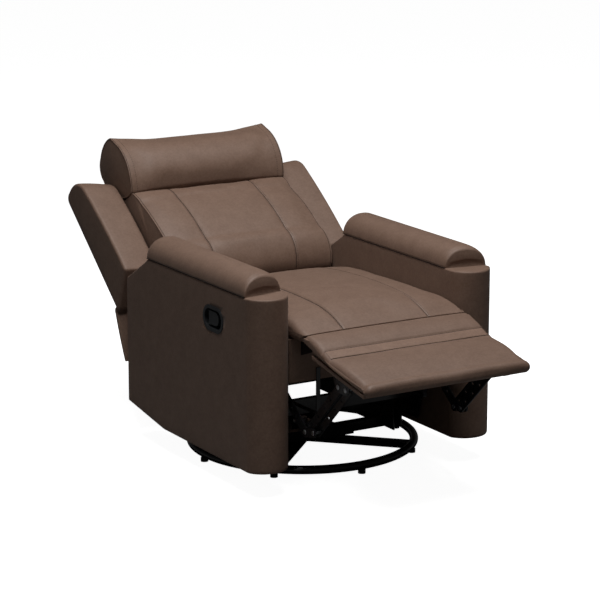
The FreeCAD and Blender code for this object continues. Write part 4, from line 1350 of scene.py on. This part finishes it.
@dataclass
class Hardware:
    """Zinc heads on the pins of the footrest linkage and the recline hinge."""

    finishes: Finishes
    thigh: float = 250.5
    shin: float = 238.5
    stay: float = 231.5
    plate: float = 256.5
    radius: float = 7.0
    rise: float = 1.2

    def heads(self, name: str, body: str, seats: Sequence[tuple[Row, float]]) -> None:
        """Make one body's heads on both sides of the chair.

        Args:
            name: The piece's name.
            body: The body that they move with.
            seats: Each head's place on the left side, and 1 or -1 for the way it faces.
        """
        heads = []
        for at, way in seats:
            one = rivet(at, way, self.radius, self.rise)
            heads += [one, one.mirrored()]
        make(name, together(heads), body, self.finishes.zinc)

    def build(self) -> None:
        """Make all the heads."""
        knee, knee_front = (-430.0, 185.0), (-472.5, 192.0)
        ankle, ankle_front = (-600.0, 352.0), (-637.2, 352.0)
        self.heads("knee_heads", "thigh_links", (((self.thigh, *knee), 1.0), ((self.shin, *knee), -1.0),
                                                 ((self.thigh, *knee_front), 1.0),
                                                 ((self.stay, *knee_front), -1.0)))
        self.heads("ankle_heads", "footrest", (((self.thigh, *ankle), 1.0), ((self.shin, *ankle), -1.0),
                                               ((self.thigh, *ankle_front), 1.0),
                                               ((self.stay, *ankle_front), -1.0)))
        self.heads("plate_heads", "carriage", (((self.plate, -290.0, 290.0), 1.0),
                                               ((self.plate, 195.0, 355.0), 1.0)))


# Studio


@dataclass
class Studio:
    """White floor, soft light from above and the photograph's camera."""

    eye: Row = (-3.559, -5.9405, 2.107)
    aim: Row = (-1.3136, -2.1843, 1.0499)
    lens: float = 147.9
    ambient: float = 0.045
    key: float = 108.0

    def camera(self) -> None:
        """Place the camera and make it the scene's own."""
        data = bpy.data.cameras.new("camera")
        data.lens = self.lens
        data.sensor_width = 36.0
        data.clip_end = 60.0
        camera = bpy.data.objects.new("camera", data)
        camera.location = self.eye
        sight = Vector(self.aim) - Vector(self.eye)
        camera.rotation_euler = sight.to_track_quat("-Z", "Y").to_euler()
        bpy.context.scene.collection.objects.link(camera)
        bpy.context.scene.camera = camera

    def world(self) -> None:
        """White to camera and transmission rays, and a low plain level of light for everything else,
        reflections included.
        """
        world = bpy.data.worlds.new("world")
        bpy.context.scene.world = world
        world.use_nodes = True
        tree = world.node_tree
        tree.nodes.clear()
        path = tree.nodes.new("ShaderNodeLightPath")
        seen = tree.nodes.new("ShaderNodeMath")
        seen.operation = "MAXIMUM"
        tree.links.new(path.outputs["Is Camera Ray"], seen.inputs[0])
        tree.links.new(path.outputs["Is Transmission Ray"], seen.inputs[1])
        level = tree.nodes.new("ShaderNodeMapRange")
        level.inputs["To Min"].default_value = self.ambient
        level.inputs["To Max"].default_value = 1.0
        tree.links.new(seen.outputs[0], level.inputs["Value"])
        background = tree.nodes.new("ShaderNodeBackground")
        tree.links.new(level.outputs["Result"], background.inputs["Strength"])
        output = tree.nodes.new("ShaderNodeOutputWorld")
        tree.links.new(background.outputs[0], output.inputs["Surface"])

    def floor(self) -> None:
        """Lay a white floor that keeps a faint shadow."""
        n = Nodes("studio_floor")
        glow = n.add("ShaderNodeEmission", Strength=0.95)
        white = n.add("ShaderNodeBsdfDiffuse", Color=(0.8, 0.8, 0.8, 1.0))
        path = n.add("ShaderNodeLightPath")
        share = n.add("ShaderNodeMapRange", To_Min=0.0, To_Max=1.0)
        n.join(path.outputs["Is Camera Ray"], share.inputs["Value"])
        both = n.add("ShaderNodeAddShader")
        n.join(glow.outputs[0], both.inputs[0])
        n.join(white.outputs[0], both.inputs[1])
        grey = n.add("ShaderNodeBsdfDiffuse", Color=(0.18, 0.18, 0.18, 1.0))
        mixed = n.add("ShaderNodeMixShader")
        n.join(share.outputs["Result"], mixed.inputs["Fac"])
        n.join(grey.outputs[0], mixed.inputs[1])
        n.join(both.outputs[0], mixed.inputs[2])
        output = n.add("ShaderNodeOutputMaterial")
        n.join(mixed.outputs[0], output.inputs["Surface"])
        mesh = bpy.data.meshes.new("studio_floor")
        reach = 14.0
        mesh.from_pydata([(-reach, -reach, 0), (reach, -reach, 0), (reach, reach, 0), (-reach, reach, 0)], [],
                         [(0, 1, 2, 3)])
        mesh.materials.append(n.material)
        floor = bpy.data.objects.new("studio_floor", mesh)
        bpy.context.scene.collection.objects.link(floor)

    def lamp(self, name: str, at: Row, aim: Row, size: float, power: float) -> None:
        """Hang a square soft light.

        Args:
            name: Its name.
            at: Where it hangs, in metres.
            aim: The point that it faces.
            size: Its width.
            power: Its power in watts.
        """
        data = bpy.data.lights.new(name, "AREA")
        data.size = size
        data.energy = power
        lamp = bpy.data.objects.new(name, data)
        lamp.location = at
        lamp.rotation_euler = (Vector(aim) - Vector(at)).to_track_quat("-Z", "Y").to_euler()
        bpy.context.scene.collection.objects.link(lamp)

    def build(self) -> None:
        """Set up everything round the chair."""
        scene = bpy.context.scene
        scene.view_settings.view_transform = "Standard"
        self.camera()
        self.world()
        self.floor()
        self.lamp("key", (-0.3, -0.6, 3.4), (0, 0, 0.4), 2.2, self.key)
        self.lamp("fill", (-2.6, -3.2, 1.6), (0, -0.2, 0.4), 1.0, self.key * 0.02)


def clear_scene() -> None:
    """Take away whatever the default file holds."""
    for thing in list(bpy.data.objects):
        bpy.data.objects.remove(thing)


def main() -> None:
    """Build the chair's looks on its frame."""
    logging.basicConfig(level=logging.INFO, format="%(name)s: %(message)s")
    clear_scene()
    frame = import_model()
    finishes = Finishes()
    finishes.dress(frame)
    Base(finishes).build()
    Hardware(finishes).build()
    Seat(finishes).build()
    Footrest(finishes).build()
    for side in Side:
        Arm(finishes, side).build()
    Back(finishes).build()
    Studio().build()


if __name__ == "__main__":
    main()
